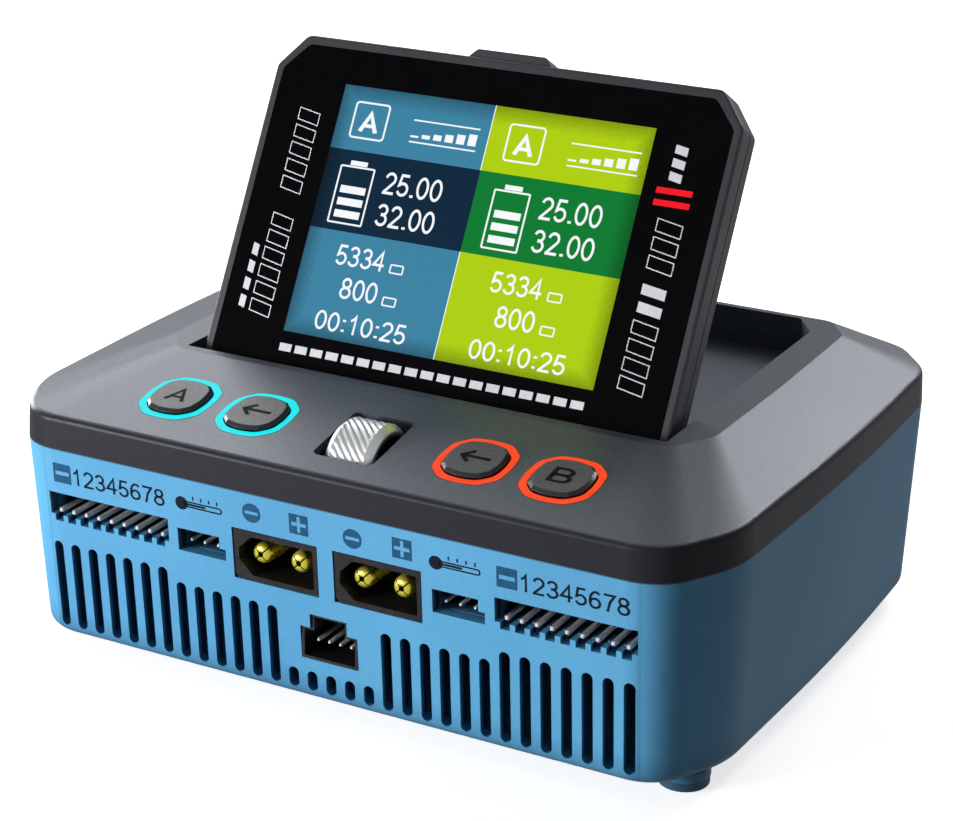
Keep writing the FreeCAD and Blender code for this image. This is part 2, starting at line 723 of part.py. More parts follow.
ring_pair("light_rings_a", [-size.key_outer_x, -size.key_inner_x])
ring_pair("light_rings_b", [size.key_inner_x, size.key_outer_x])


def key_board():
    sheet = plate(rounded(rectangle(-44.0, 44.0, 4.2, 21.2), [1.5] * 4),
                  KEY_BOARD_FACE - 1.0, KEY_BOARD_FACE)
    gap = block(-12.6, 6.9, 3.0, 20.2, KEY_BOARD_FACE - 2, KEY_BOARD_FACE + 1)
    holes = [disc(0.8, 3, x, along, KEY_BOARD_FACE - 2) for x, along in PANEL_SPOTS]
    return sheet.cut([gap] + holes)


def tactile_switches():
    switches = []
    for x in KEY_SPOTS.values():
        case = block(x - 2.6, x + 2.6, size.key_along - 2.6, size.key_along + 2.6,
                     KEY_BOARD_FACE, KEY_BOARD_FACE + 1.5)
        case = case.makeChamfer(0.2, edges_at(case, KEY_BOARD_FACE + 1.5))
        stud = disc(1.2, SWITCH_TALL - 1.4, x, size.key_along, KEY_BOARD_FACE + 1.4)
        switches.append(case.fuse(stud))
    return Part.makeCompound(switches)


def key_leds():
    lamps = []
    for x in KEY_SPOTS.values():
        for side in (-1, 1):
            middle = x + side * 5.4
            lamps.append(block(middle - 0.8, middle + 0.8, size.key_along - 0.6,
                               size.key_along + 0.6, KEY_BOARD_FACE, KEY_BOARD_FACE + 0.8))
    return Part.makeCompound(lamps)


node("key_board", made("KeyBoard", key_board(), PANEL))
node("key_switches", made("KeySwitches", tactile_switches(), PANEL))
node("key_leds", made("KeyLeds", key_leds(), PANEL))


def panel_screws():
    return Part.makeCompound([screw(x, along, KEY_BOARD_FACE - 1.0, 0.65, 4.6, 1.4, 0.9)
                              for x, along in PANEL_SPOTS])


node("panel_screws", made("PanelScrews", panel_screws(), PANEL))


# ---------------------------------------------------------------- roller wheel

ROLLER = on_panel(0, size.roller_along, -size.roller_drop)
ROLL = Rotation(Vector(0, 1, 0), 90)


def roller_rim():
    """The metal tyre: smooth rims each side of a band that stands a little lower."""
    half, r = size.roller_wide / 2, size.roller_radius
    profile = Part.Wire(Part.makePolygon([
        Vector(-half, 5.7, 0), Vector(half, 5.7, 0), Vector(half, r - 0.7, 0),
        Vector(half - 0.7, r, 0), Vector(half - 1.3, r, 0), Vector(half - 1.6, r - 0.12, 0),
        Vector(1.6 - half, r - 0.12, 0), Vector(1.3 - half, r, 0), Vector(0.7 - half, r, 0),
        Vector(-half, r - 0.7, 0), Vector(-half, 5.7, 0)]))
    return Part.Face(profile).revolve(Vector(0, 0, 0), Vector(1, 0, 0), 360)


def roller_carrier():
    """A yoke: two arms with the axle's bores, a floor under the wheel and a lug for its switch."""
    floor_z = -size.roller_radius - 0.35
    yoke = block(-6.4, 6.4, -4.5, 4.5, floor_z - 0.6, 1.3)
    yoke = yoke.cut(block(-5.1, 5.1, -10, 10, floor_z, 5))
    lug = block(6.3, 11.0, -1.6, 1.6, LUG_TIP, LUG_TIP + 1.3)
    bore = disc(size.axle_radius + 0.04, 14, -7, 0, 0, Vector(1, 0, 0))
    return yoke.fuse(lug).cut(bore).removeSplitter()


LUG_TIP = KEY_BOARD_FACE + SWITCH_TALL + size.roller_press + 0.02 + size.roller_drop

node("roller_rim", made("RollerRim", roller_rim(), ROLLER))
hub = rod("RollerHubDisc", "5.69", "roller_wide - 0.6", at())
hub_bore = rod("RollerHubBore", "axle_radius", "roller_wide", at(z=-0.2))
roller_hub = node("roller_hub", cut("RollerHub", hub, hub_bore))
roller_hub.Placement = ROLLER * at(-size.roller_wide / 2 + 0.3, 0, 0, ROLL)
roller_axle = node("roller_axle", rod("RollerAxle", "axle_radius", "17.6",
                                      ROLLER * at(-11.0, 0, 0, ROLL)))
node("roller_carrier", made("RollerCarrier", roller_carrier(), ROLLER))
encoder = box("EncoderBody", "4.4", "7.2", "6.0", ROLLER * at(-11.2, -3.6, -4.9))
encoder_bore = rod("EncoderBore", "axle_radius + 0.04", "10", ROLLER * at(-14, 0, 0, ROLL))
node("roller_encoder", cut("RollerEncoder", encoder, encoder_bore))
press = box("PressSwitchCase", "4.4", "5.2", "1.5",
            on_panel(7.6, size.roller_along - 2.6, KEY_BOARD_FACE))
press_stud = rod("PressSwitchStud", "1.1", "0.6",
                 on_panel(9.8, size.roller_along, KEY_BOARD_FACE + 1.4))
node("roller_switch", fuse("RollerSwitch", press, press_stud))


def roller_guide():
    """Two fixed cheeks under the key board that steer the yoke."""
    cheeks = []
    for side in (-1, 1):
        near, far = sorted((side * 4.7, side * 8.4))
        cheeks.append(block(-8.8, 8.8, near + size.roller_along, far + size.roller_along,
                            KEY_BOARD_FACE - 4.0, KEY_BOARD_FACE - 1.0))
    wheel_room = block(-4.8, 4.8, size.roller_along - 7.3, size.roller_along + 7.3, -20, 0)
    return Part.makeCompound([cheek.cut(wheel_room) for cheek in cheeks])


node("roller_guide", made("RollerGuide", roller_guide(), PANEL))


# ---------------------------------------------------------------- front connectors

HOUSING_FRONT = front_y(size.output_z) - 0.1
OUTPUT_FLOOR = -42.0
ROOT_STEP = 0.2


def along_y(wire_points, radii, y_low, y_high):
    """A prism along Y from an outline given as X and Z."""
    solid = prism(rounded(wire_points, radii), y_high - y_low)
    solid.rotate(Vector(0, 0, 0), Vector(1, 0, 0), 90)
    solid.translate(Vector(0, y_high, 0))
    return solid


def ahead_of_face():
    """Everything in front of the case's leaning face, seen from a power socket's centre."""
    half = size.output_tall
    low, high = size.output_z - half, size.output_z + half
    side = Part.makePolygon([Vector(0, -70, -half), Vector(0, front_y(low), -half),
                             Vector(0, front_y(high), half), Vector(0, -70, half),
                             Vector(0, -70, -half)])
    solid = Part.Face(side).extrude(Vector(4 * size.output_wide, 0, 0))
    solid.translate(Vector(-2 * size.output_wide, 0, 0))
    return solid


def output_housing():
    """One power socket's shell, centred on X = 0 and Z = 0; the clipped side is the plus side."""
    w, k = size.output_wide / 2, size.output_tall / 2
    shell = along_y(rectangle(0.2 - w, w, 0.1 - k, k), [1.1, 0.7, 0.3, 0.3], -54.0, -37.0)
    inner_w, inner_k, clip = w - 1.0, k - 0.95, 2.4
    right = w - 0.75
    cavity = [Vector(clip - inner_w, -inner_k, 0), Vector(right, -inner_k, 0),
              Vector(right, inner_k, 0), Vector(clip - inner_w, inner_k, 0),
              Vector(-inner_w, inner_k - clip, 0), Vector(-inner_w, clip - inner_k, 0)]
    cuts = [along_y(cavity, [0.5, 0.4, 0.4, 0.5, 0.5, 0.5], -60, OUTPUT_FLOOR), ahead_of_face()]
    for i in (-1, 1):
        cuts.append(disc(size.bullet_radius - ROOT_STEP, 30, i * size.bullet_pitch / 2, -60, 0,
                         Vector(0, 1, 0)))
    cuts.append(block(-w - 1, w + 1, OUTPUT_FLOOR + 0.1, -30, inner_k - 0.1, k + 1))
    rib = block(-0.65, 0.65, HOUSING_FRONT + 0.8, OUTPUT_FLOOR + 0.1, inner_k - 0.6, inner_k + 0.1)
    return shell.cut(cuts).fuse(rib).removeSplitter()


def bullet(x, radius, tip, floor, end, slit, tail):
    """A split round contact along Y: a domed tip, a step at the socket's floor, a tail to the board."""
    back = 1 if end > tip else -1
    along = Vector(0, back, 0)
    pin = disc(radius, abs(floor - tip), x, tip, 0, along)
    pin = pin.makeFillet(0.62 * radius, [e for e in pin.Edges
                                         if abs(e.BoundBox.YMax - tip) + abs(e.BoundBox.YMin - tip)
                                         < 0.01])
    root = disc(radius - ROOT_STEP, abs(end - floor), x, floor, 0, along)
    near, far = sorted((tip - back, tip + 5.5 * back))
    cuts = [disc(0.4, far - near, x, near, 0, Vector(0, 1, 0))]
    for turn in (45, 135):
        slot = block(-slit / 2, slit / 2, near, far, -5, 5)
        slot.rotate(Vector(0, 0, 0), Vector(0, 1, 0), turn)
        slot.translate(Vector(x, 0, 0))
        cuts.append(slot)
    return pin.fuse(root).cut(cuts).fuse(tail)


def output_bullet(x):
    drop = size.output_z - BOARD_TOP
    return bullet(x, size.bullet_radius, HOUSING_FRONT + 1.4, OUTPUT_FLOOR, -34.8, 0.24,
                  disc(1.0, drop + 0.4, x, -35.9, -drop))


def square_pin(x, z, y_tip, y_bend, z_foot, thick=0.64):
    """A header pin: forward from its bend, then down through the board."""
    t = thick / 2
    ahead = block(x - t, x + t, y_tip, y_bend + t, z - t, z + t)
    ahead = ahead.makeChamfer(0.15, [e for e in ahead.Edges
                                     if abs(e.BoundBox.YMax - y_tip) < 0.01])
    down = block(x - t, x + t, y_bend - t, y_bend + t, z_foot, z)
    return ahead.fuse(down).removeSplitter()


PORT_Z = (size.port_low + size.port_high) / 2
BOARD_TOP = size.board_low + size.board_thick
BALANCE_PIN_Z = size.balance_low + 0.65
TEMP_PIN_Z = size.temp_low + 1.5
PORT_PIN_Z = (size.port_low + size.port_high) / 2 + 0.3
BALANCE_TIP = -50.6
TEMP_TIP = -50.2
BALANCE_PINS = [i * size.balance_pitch for i in range(-4, 5)]
TEMP_PINS = [i * size.temp_pitch - 0.3 for i in (-1, 0, 1)]
PORT_PINS = [i * 2.0 + 0.25 for i in (-1.5, -0.5, 0.5, 1.5)]


def pin_hole(x, z, y_low, y_high):
    return block(x - 0.32, x + 0.32, y_low, y_high, z - 0.32, z + 0.32)


def balance_header():
    shell = block(-12.1, 12.1, -48.6, -42.7, size.balance_low - 1.5, size.balance_high + 1.2)
    cuts = [block(-11.7, 11.7, -60, -43.9, size.balance_low, size.balance_high)]
    for x in BALANCE_PINS:
        cuts.append(block(x - 0.8, x + 0.8, -60, -44.6, size.balance_low - 1.1,
                          size.balance_low + 0.1))
        cuts.append(pin_hole(x, BALANCE_PIN_Z, -45, -42))
    return shell.cut(cuts)


def temp_header():
    shell = block(-5.1, 5.3, -48.6, -42.7, size.temp_low - 1.1, size.temp_high + 1.2)
    cuts = [block(-4.3, 3.6, -60, -43.9, size.temp_low, size.temp_high),
            block(3.5, 4.7, -60, -43.9, size.temp_low, size.temp_low + 1.95)]
    for x in TEMP_PINS:
        cuts.append(pin_hole(x, TEMP_PIN_Z, -45, -42))
    return shell.cut(cuts)


def data_port():
    half = size.port_half
    nose = block(-half, half, front_y(PORT_Z) + 0.1, -47.0, size.port_low, size.port_high)
    latch = block(-3.25, 3.25, front_y(PORT_Z) + 0.1, -47.0, size.port_high - 0.1,
                  size.port_high + 2.45)
    back = block(-half - 1.2, half + 1.2, -47.7, -40.0, size.port_low - 1.2, size.board_low)
    cuts = [block(0.5 - half, half - 0.5, -60, -42.0, size.port_low + 0.5, size.port_high - 0.4),
            block(-2.8, 2.8, -60, -42.0, size.port_high - 1.0, size.port_high + 2.0)]
    for x in PORT_PINS:
        cuts.append(pin_hole(x, PORT_PIN_Z, -43, -39))
    return nose.fuse([latch, back]).cut(cuts).removeSplitter()


def bent_up_pin(x):
    ahead = block(x - 0.32, x + 0.32, -49.0, -39.0, PORT_PIN_Z - 0.32, PORT_PIN_Z + 0.32)
    up = block(x - 0.32, x + 0.32, -39.64, -39.0, PORT_PIN_Z, size.board_low)
    return ahead.fuse(up).removeSplitter()


for letter, side in (("a", -1), ("b", 1)):
    x = side * size.output_x
    node("output_housing_" + letter,
         made("OutputHousing", output_housing(), at(x, 0, size.output_z)))
    pins = Part.makeCompound([output_bullet(i * size.bullet_pitch / 2) for i in (-1, 1)])
    node("output_pins_" + letter, made("OutputPins", pins, at(x, 0, size.output_z)))
    x = BALANCE_X[side]
    node("balance_header_" + letter, made("BalanceHeader", balance_header(), at(x)))
    pins = Part.makeCompound([square_pin(p, BALANCE_PIN_Z, BALANCE_TIP, -41.9, BOARD_TOP)
                              for p in BALANCE_PINS])
    node("balance_pins_" + letter, made("BalancePins", pins, at(x)))
    x = side * size.temp_x
    node("temp_header_" + letter, made("TempHeader", temp_header(), at(x)))
    pins = Part.makeCompound([square_pin(p, TEMP_PIN_Z, TEMP_TIP, -41.9, BOARD_TOP)
                              for p in TEMP_PINS])
    node("temp_pins_" + letter, made("TempPins", pins, at(x)))
node("data_port", made("DataPort", data_port()))
node("data_port_pins", made("DataPortPins", Part.makeCompound([bent_up_pin(x) for x in PORT_PINS])))


# ---------------------------------------------------------------- boards and what they carry

def origin_plane(body, role):
    return next(f for f in body.Origin.OriginFeatures if f.Role == role)


def new_sketch(body, name, role="XY_Plane"):
    sketch = body.newObject("Sketcher::SketchObject", name)
    sketch.AttachmentSupport = [(origin_plane(body, role), "")]
    sketch.MapMode = "FlatFace"
    return sketch


def pin_down(sketch, geometry, point, x, y):
    """Hold one point of a sketch at a place given by two formulas."""
    for kind, text in (("DistanceX", x), ("DistanceY", y)):
        index = sketch.addConstraint(Sketcher.Constraint(kind, -1, 1, geometry, point, 1.0))
        sketch.setExpression("Constraints[%d]" % index, formula(text))


def draw_rectangle(sketch, x_low, x_high, y_low, y_high):
    corners = [Vector(0, 0, 0), Vector(1, 0, 0), Vector(1, 1, 0), Vector(0, 1, 0)]
    places = [(x_low, y_low), (x_high, y_low), (x_high, y_high), (x_low, y_high)]
    first = sketch.GeometryCount
    for i in range(4):
        sketch.addGeometry(Part.LineSegment(corners[i], corners[(i + 1) % 4]), False)
    for i in range(4):
        here, after = first + i, first + (i + 1) % 4
        sketch.addConstraint(Sketcher.Constraint("Coincident", here, 2, after, 1))
    for i in range(4):
        pin_down(sketch, first + i, 1, *places[i])


def draw_circle(sketch, x, y, radius):
    index = sketch.addGeometry(Part.Circle(Vector(0, 0, 0), Vector(0, 0, 1), 1.0), False)
    number = sketch.addConstraint(Sketcher.Constraint("Radius", index, 1.0))
    sketch.setExpression("Constraints[%d]" % number, formula(radius))
    pin_down(sketch, index, 3, x, y)


def pad(body, name, sketch, length):
    feature = body.newObject("PartDesign::Pad", name)
    feature.Profile = sketch
    bind(feature, Length=length)
    body.Tip = feature
    return feature


def pocket_through(body, name, sketch, backwards=False):
    feature = body.newObject("PartDesign::Pocket", name)
    feature.Profile = sketch
    feature.Type = "ThroughAll"
    feature.Reversed = backwards
    body.Tip = feature
    return feature


def new_body(name, place):
    body = doc.addObject("PartDesign::Body", name)
    body.Placement = place
    return body


board = new_body("MainBoard", at(z=size.board_low))
outline = new_sketch(board, "BoardOutline")
draw_rectangle(outline, "-board_half", "board_half", "board_front", "board_rear")
pad(board, "BoardPad", outline, "board_thick")
tongue = new_sketch(board, "BoardTongue")
draw_rectangle(tongue, "-tongue_half", "tongue_half", "board_rear - 1", "tongue_rear")
pad(board, "TonguePad", tongue, "board_thick")
holes = new_sketch(board, "BoardHoles")
for x, y in BOARD_SPOTS:
    draw_circle(holes, str(x), str(y), "1.1")
for side in (-1, 1):
    low, high = sorted((side * 52.2, side * 58.0))
    draw_rectangle(holes, str(low), str(high), "board_front - 1", "-35")
pocket_through(board, "BoardCuts", holes, True)
node("main_board", board)


def board_screw(x, y):
    down = screw(0, 0, 0, 0.85, 6.5, 1.9, 1.3)
    down.Placement = at(x, y, BOARD_TOP, Rotation(Vector(1, 0, 0), 180))
    return down


node("board_screws", made("BoardScrews", Part.makeCompound(
    [board_screw(x, y) for x, y in BOARD_SPOTS])))

MOSFET_TALL = 1.1
SINK_X = 33.0
SINK_Y = -24.0


def heat_sink(name, x):
    """An extruded plate with upright fins that run front to back, in the fans' air."""
    sink = new_body(name, at(x, SINK_Y, BOARD_TOP + MOSFET_TALL))
    base = new_sketch(sink, name + "Base")
    draw_rectangle(base, "-sink_wide / 2", "sink_wide / 2", "0", "sink_deep")
    pad(sink, name + "BasePad", base, "2")
    fin = new_sketch(sink, name + "Fin")
    draw_rectangle(fin, "-sink_wide / 2", "-sink_wide / 2 + fin_thick", "0", "sink_deep")
    first = pad(sink, name + "FinPad", fin, "sink_tall")
    row = sink.newObject("PartDesign::LinearPattern", name + "Fins")
    row.Originals = [first]
    row.Direction = (fin, ["H_Axis"])
    count = int((size.sink_wide - size.fin_thick) / size.fin_pitch) + 1
    row.Length = (count - 1) * size.fin_pitch
    row.Occurrences = count
    sink.Tip = row
    return sink


node("heat_sink_left", heat_sink("HeatSinkLeft", -SINK_X))
node("heat_sink_right", heat_sink("HeatSinkRight", SINK_X))

packages = [box("Mosfet%d" % i, "6", "5.2", str(MOSFET_TALL),
                at(side * (18.0 + 10.0 * k) - 3, y, BOARD_TOP))
            for i, (side, k, y) in enumerate((s, k, y) for s in (-1, 1) for k in range(4)
                                             for y in (-14.0, 8.0))]
node("mosfets", group("Mosfets", *packages))
coils = [box("Inductor%d" % i, "14", "14", "9.5", at(x - 7, y, size.board_low - 9.5))
         for i, (x, y) in enumerate((x, y) for x in (-38.0, -18.0, 18.0, 38.0)
                                    for y in (-24.0,))]
node("power_inductors", group("PowerInductors", *coils))
cans = [rod("Capacitor%d" % i, "4", "11.5", at(x, y, BOARD_TOP))
        for i, (x, y) in enumerate((x, y) for x in (-4.4, 4.4) for y in (-12.0, -2.8, 6.4, 15.6))]
node("capacitors", group("Capacitors", *cans))
chips = [box("Chip%d" % i, str(wide), str(wide), "1.4", at(x - wide / 2, y, BOARD_TOP))
         for i, (x, y, wide) in enumerate(((0, -33.0, 9), (-22, -33.0, 6), (22, -33.0, 6)))]
node("control_chips", group("ControlChips", *chips))
sounder = rod("BuzzerCan", "4.5", "5", at(-2, 27, BOARD_TOP))
sounder_hole = rod("BuzzerHole", "1", "3", at(-2, 27, BOARD_TOP + 3))
node("buzzer", cut("Buzzer", sounder, sounder_hole))
node("display_cable", box("DisplayCable", "12", "0.3", "16.2", at(-6, RIBBON_Y, BOARD_TOP)))


# ---------------------------------------------------------------- fans

def fan_frame(name, x):
    """Local Z runs to the back of the case; the frame is a square with a round duct."""
    frame = new_body(name, at(x, size.fan_front, size.fan_z, AXIS_Y))
    square = new_sketch(frame, name + "Square")
    draw_rectangle(square, "-fan_size / 2", "fan_size / 2", "-fan_size / 2", "fan_size / 2")
    pad(frame, name + "Block", square, "fan_thick")
    bores = new_sketch(frame, name + "Bores")
    draw_circle(bores, "0", "0", "fan_bore")
    for i in (-1, 1):
        for k in (-1, 1):
            draw_circle(bores, "%d * (fan_size / 2 - 3)" % i, "%d * (fan_size / 2 - 3)" % k, "0.9")
    pocket_through(frame, name + "Duct", bores, True)
    return frame


def fan_motor(name, x):
    """The fixed middle: a disc on four struts with the bearing tube in front."""
    place = at(x, size.fan_front, size.fan_z, AXIS_Y)
    disc_plate = rod(name + "Disc", "fan_hub", "1.2", place * at(z=size.fan_thick - 1.2))
    tube = rod(name + "Tube", "2", "5", place * at(z=size.fan_thick - 6.0))
    struts = []
    for i in range(4):
        turn = Rotation(Vector(0, 0, 1), 45 + 90 * i)
        struts.append(box(name + "Strut%d" % i, "fan_bore - 5 + 0.3", "1.6", "1.2",
                          place * at(turn=turn) * at(5.0, -0.8, size.fan_thick - 1.2)))
    return fuse(name + "Middle", disc_plate, tube, *struts)


def fan_rotor():
    """A cup with seven pitched blades, in the frame's own directions."""
    cup = disc(size.fan_hub, 7.6, 0, 0, 0.6).cut(disc(size.fan_hub - 1, 7.0, 0, 0, 1.6))
    shaft = disc(0.75, 6.6, 0, 0, 1.0)
    blades = []
    reach = size.rotor_radius - size.fan_hub + 0.6
    for i in range(7):
        blade = block(0, reach, -0.4, 0.4, -3.8, 3.8)
        blade.rotate(Vector(0, 0, 0), Vector(1, 0, 0), 42)
        blade.translate(Vector(size.fan_hub - 0.6, 0, 4.4))
        blade.rotate(Vector(0, 0, 0), Vector(0, 0, 1), i * 360 / 7)
        blades.append(blade)
    limit = disc(size.rotor_radius, 7.4, 0, 0, 0.7).cut(disc(size.fan_hub - 0.3, 9, 0, 0, 0))
    blades = Part.makeCompound(blades).common(limit)
    return cup.fuse([shaft] + blades.Solids).removeSplitter()


for word, side in (("left", -1), ("right", 1)):
    title = "Fan" + word.capitalize()
    x = side * size.fan_x
    frame = fan_frame(title, x)
    whole = fuse(title + "Whole", frame, fan_motor(title, x))
    bearing = rod(title + "Bearing", "0.78", "12",
                  at(x, size.fan_front, size.fan_z, AXIS_Y) * at(z=-1))
    node("fan_frame_" + word, cut(title + "Frame", whole, bearing))
    node("fan_rotor_" + word, made(title + "Rotor", fan_rotor(),
                                   at(x, size.fan_front, size.fan_z, AXIS_Y)))


def fan_screw(x, z):
    pin = screw(0, 0, 0, 0.75, 11.5, 1.5, 1.0)
    pin.Placement = at(x, size.fan_front, z, AXIS_Y)
    return pin


node("fan_screws", made("FanScrews", Part.makeCompound(
    [fan_screw(*spot) for x in (-size.fan_x, size.fan_x) for spot in fan_corners(x)])))


# ---------------------------------------------------------------- rear connectors

INLET_FLOOR = 42.0
INLET_RADIUS = 2.25
INLET_PITCH = 10.0


def dc_inlet():
    w, k = size.inlet_wide / 2, size.inlet_tall / 2
    rear = rear_y(size.inlet_z) + 0.1
    shell = along_y(rectangle(-w, w, -k, k), [0.6] * 4, 36.5, rear)
    clip = 3.0
    cavity = [Vector(1.2 - w, 1.1 - k, 0), Vector(w - 1.2 - clip, 1.1 - k, 0),
              Vector(w - 1.2, 1.1 - k + clip, 0), Vector(w - 1.2, k - 1.1 - clip, 0),
              Vector(w - 1.2 - clip, k - 1.1, 0), Vector(1.2 - w, k - 1.1, 0)]
    cuts = [along_y(cavity, [1.5, 0.5, 0.5, 0.5, 0.5, 1.5], INLET_FLOOR, 60)]
    cuts += [disc(INLET_RADIUS - ROOT_STEP, 30, i * INLET_PITCH / 2, 30, 0, Vector(0, 1, 0))
             for i in (-1, 1)]
    return shell.cut(cuts)


def inlet_bullet(x):
    drop = size.inlet_z - BOARD_TOP
    return bullet(x, INLET_RADIUS, rear_y(size.inlet_z) - 1.4, INLET_FLOOR, 33.6, 0.3,
                  disc(1.4, drop, x, 35.0, -drop))


def usb_socket():
    w, k = size.usb_wide / 2, size.usb_tall / 2
    ends = 1.4
    rear = rear_y(USB_Z)
    shell = along_y(rectangle(-w, w, -k, k), [ends] * 4, 43.5, rear)
    mouth = along_y(rectangle(0.3 - w, w - 0.3, 0.3 - k, k - 0.3), [ends - 0.3] * 4, 44.5, 60)
    leaf = block(-3.2, 3.2, 44.0, rear - 0.8, -0.35, 0.35)
    return shell.cut(mouth).fuse(leaf).removeSplitter()


node("dc_inlet", made("DcInlet", dc_inlet(), at(size.inlet_x, 0, size.inlet_z)))
pins = Part.makeCompound([inlet_bullet(i * INLET_PITCH / 2) for i in (-1, 1)])
node("dc_inlet_pins", made("DcInletPins", pins, at(size.inlet_x, 0, size.inlet_z)))
node("usb_socket", made("UsbSocket", usb_socket(), at(size.usb_x, 0, USB_Z)))


# ---------------------------------------------------------------- checks and export

doc.recompute()
for thing in doc.Objects:
    if "Invalid" in thing.State or "Error" in thing.State:
        raise RuntimeError("%s did not recompute: %s" % (thing.Name, thing.State))
for piece in NODES:
    shape = piece.Shape
    if shape.isNull() or not shape.isValid() or not shape.Solids:
        raise RuntimeError(piece.Label + " has no sound solid")
os.makedirs("parts", exist_ok=True)
for piece in NODES:
    piece.Shape.exportStep("parts/%s.step" % piece.Label)
print(len(NODES), "nodes written")
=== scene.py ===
import json
import math

import bpy  # noqa: E402
from mathutils import Matrix, Vector  # noqa: E402


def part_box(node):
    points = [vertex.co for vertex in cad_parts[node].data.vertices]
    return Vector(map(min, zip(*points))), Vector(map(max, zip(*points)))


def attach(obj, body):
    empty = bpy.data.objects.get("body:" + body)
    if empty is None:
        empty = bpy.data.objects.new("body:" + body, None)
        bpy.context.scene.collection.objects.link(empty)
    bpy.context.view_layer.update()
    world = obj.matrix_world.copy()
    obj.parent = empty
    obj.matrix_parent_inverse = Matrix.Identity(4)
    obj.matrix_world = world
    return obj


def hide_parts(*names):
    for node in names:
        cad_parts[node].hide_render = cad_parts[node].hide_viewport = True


# The charger's looks: finishes for every CAD node, the lit display, the printed marks, the fluted
# wheel, the lights, the floor and the camera. Drawings are in millimetres, pieces in metres.

MM = 0.001
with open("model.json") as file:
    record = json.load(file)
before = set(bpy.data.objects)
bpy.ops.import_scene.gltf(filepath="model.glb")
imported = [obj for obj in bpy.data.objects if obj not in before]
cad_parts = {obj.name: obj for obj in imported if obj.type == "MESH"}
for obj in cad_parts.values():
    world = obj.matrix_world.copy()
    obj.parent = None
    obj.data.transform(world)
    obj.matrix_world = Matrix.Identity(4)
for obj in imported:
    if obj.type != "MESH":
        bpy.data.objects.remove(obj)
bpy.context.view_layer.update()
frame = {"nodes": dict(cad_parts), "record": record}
nodes = frame["nodes"]
scene = bpy.context.scene


def tilted(y, z, angle):
    """A frame on the case's middle line, turned about X."""
    return Matrix.Translation((0, y * MM, z * MM)) @ Matrix.Rotation(math.radians(angle), 4, "X")


PANEL_Y, PANEL_Z = -51.7, 42.8  # the control panel's front edge
PANEL_TILT = math.atan2(4.7, 26.5)
FRONT_Y, SEAM_Z = -52.0, 37.3  # the case front, where the two halves meet
FRONT_LEAN = 4.3
SCREEN = tilted(-16.16, 43.0, 61.4)
PANEL = tilted(PANEL_Y, PANEL_Z, math.degrees(PANEL_TILT))
FRONT = tilted(FRONT_Y, SEAM_Z, 90 + FRONT_LEAN)
LENS_FACE = 5.0
KEY_TOP = 0.8
KEY_ALONG = 12.4
ROLLER_CENTRE = (0, -38.681, 39.828)
PRINT_LIFT = 0.06
INK_THICK = 0.03
DISPLAY_HALF, DISPLAY_LOW, DISPLAY_HIGH = 28.6, 6.5, 49.4
BAND_LOW, BAND_HIGH = 24.62, 38.4  # the darker band across the display
OUTPUT_X, OUTPUT_Z, PIN_REACH = 9.2, 26.3, 3.5  # power sockets' centres, and pins to each side


# ---------------------------------------------------------------- material graphs

class Graph:
    """A material's node tree, built by short calls."""

    def __init__(self, name):
        self.material = bpy.data.materials.new(name)
        self.material.use_nodes = True
        self.tree = self.material.node_tree
        self.shader = self.tree.nodes["Principled BSDF"]
        coords = self.tree.nodes.new("ShaderNodeTexCoord")
        self.where = coords.outputs["Object"]

    def node(self, kind, **inputs):
        made = self.tree.nodes.new(kind)
        for name, value in inputs.items():
            self.put(made, name.replace("_", " "), value)
        return made

    def put(self, node, name, value):
        socket = node.inputs[int(name)] if name.isdigit() else node.inputs[name]
        if isinstance(value, bpy.types.NodeSocket):
            self.tree.links.new(value, socket)
        else:
            socket.default_value = value

    def set(self, **inputs):
        for name, value in inputs.items():
            self.put(self.shader, name.replace("_", " "), value)

    def math(self, operation, a, b=0.0):
        made = self.tree.nodes.new("ShaderNodeMath")
        made.operation = operation
        self.put(made, "0", a)
        self.put(made, "1", b)
        return made.outputs[0]

    def noise(self, scale, detail=3.0):
        made = self.node("ShaderNodeTexNoise", Scale=scale, Detail=detail, Roughness=0.5,
                         Vector=self.where)
        return made.outputs["Fac"]

    def spread(self, value, low, high, start=0.0, end=1.0):
        made = self.node("ShaderNodeMapRange", From_Min=start, From_Max=end, To_Min=low,
                         To_Max=high, Value=value)
        return made.outputs["Result"]

    def mix(self, factor, a, b):
        made = self.tree.nodes.new("ShaderNodeMix")
        made.data_type = "RGBA"
        self.put(made, "0", factor)
        self.put(made, "6", a)
        self.put(made, "7", b)
        return made.outputs[2]

    def bump(self, height, strength, distance):
        made = self.node("ShaderNodeBump", Strength=strength, Distance=distance, Height=height)
        return made.outputs["Normal"]

    def axis(self, name):
        return self.node("ShaderNodeSeparateXYZ", Vector=self.where).outputs[name]

    def facing_up(self):
        """How far a face looks upwards, 0 to 1."""
        faces = self.node("ShaderNodeNewGeometry").outputs["Normal"]
        return self.math("MAXIMUM", self.node("ShaderNodeSeparateXYZ", Vector=faces).outputs["Z"])

    def above_panel(self):
        """Height over the sloping control panel, in metres."""
        rise = self.math("MULTIPLY", self.math("SUBTRACT", self.axis("Z"), PANEL_Z * MM),
                         math.cos(PANEL_TILT))
        drop = self.math("MULTIPLY", self.math("SUBTRACT", self.axis("Y"), PANEL_Y * MM),
                         math.sin(PANEL_TILT))
        return self.math("SUBTRACT", rise, drop)


def colour(red, green, blue):
    """A linear colour from the usual 0 to 255 numbers."""
    def linear(value):
        value /= 255
        return value / 12.92 if value <= 0.04045 else ((value + 0.055) / 1.055) ** 2.4
    return (linear(red), linear(green), linear(blue), 1.0)


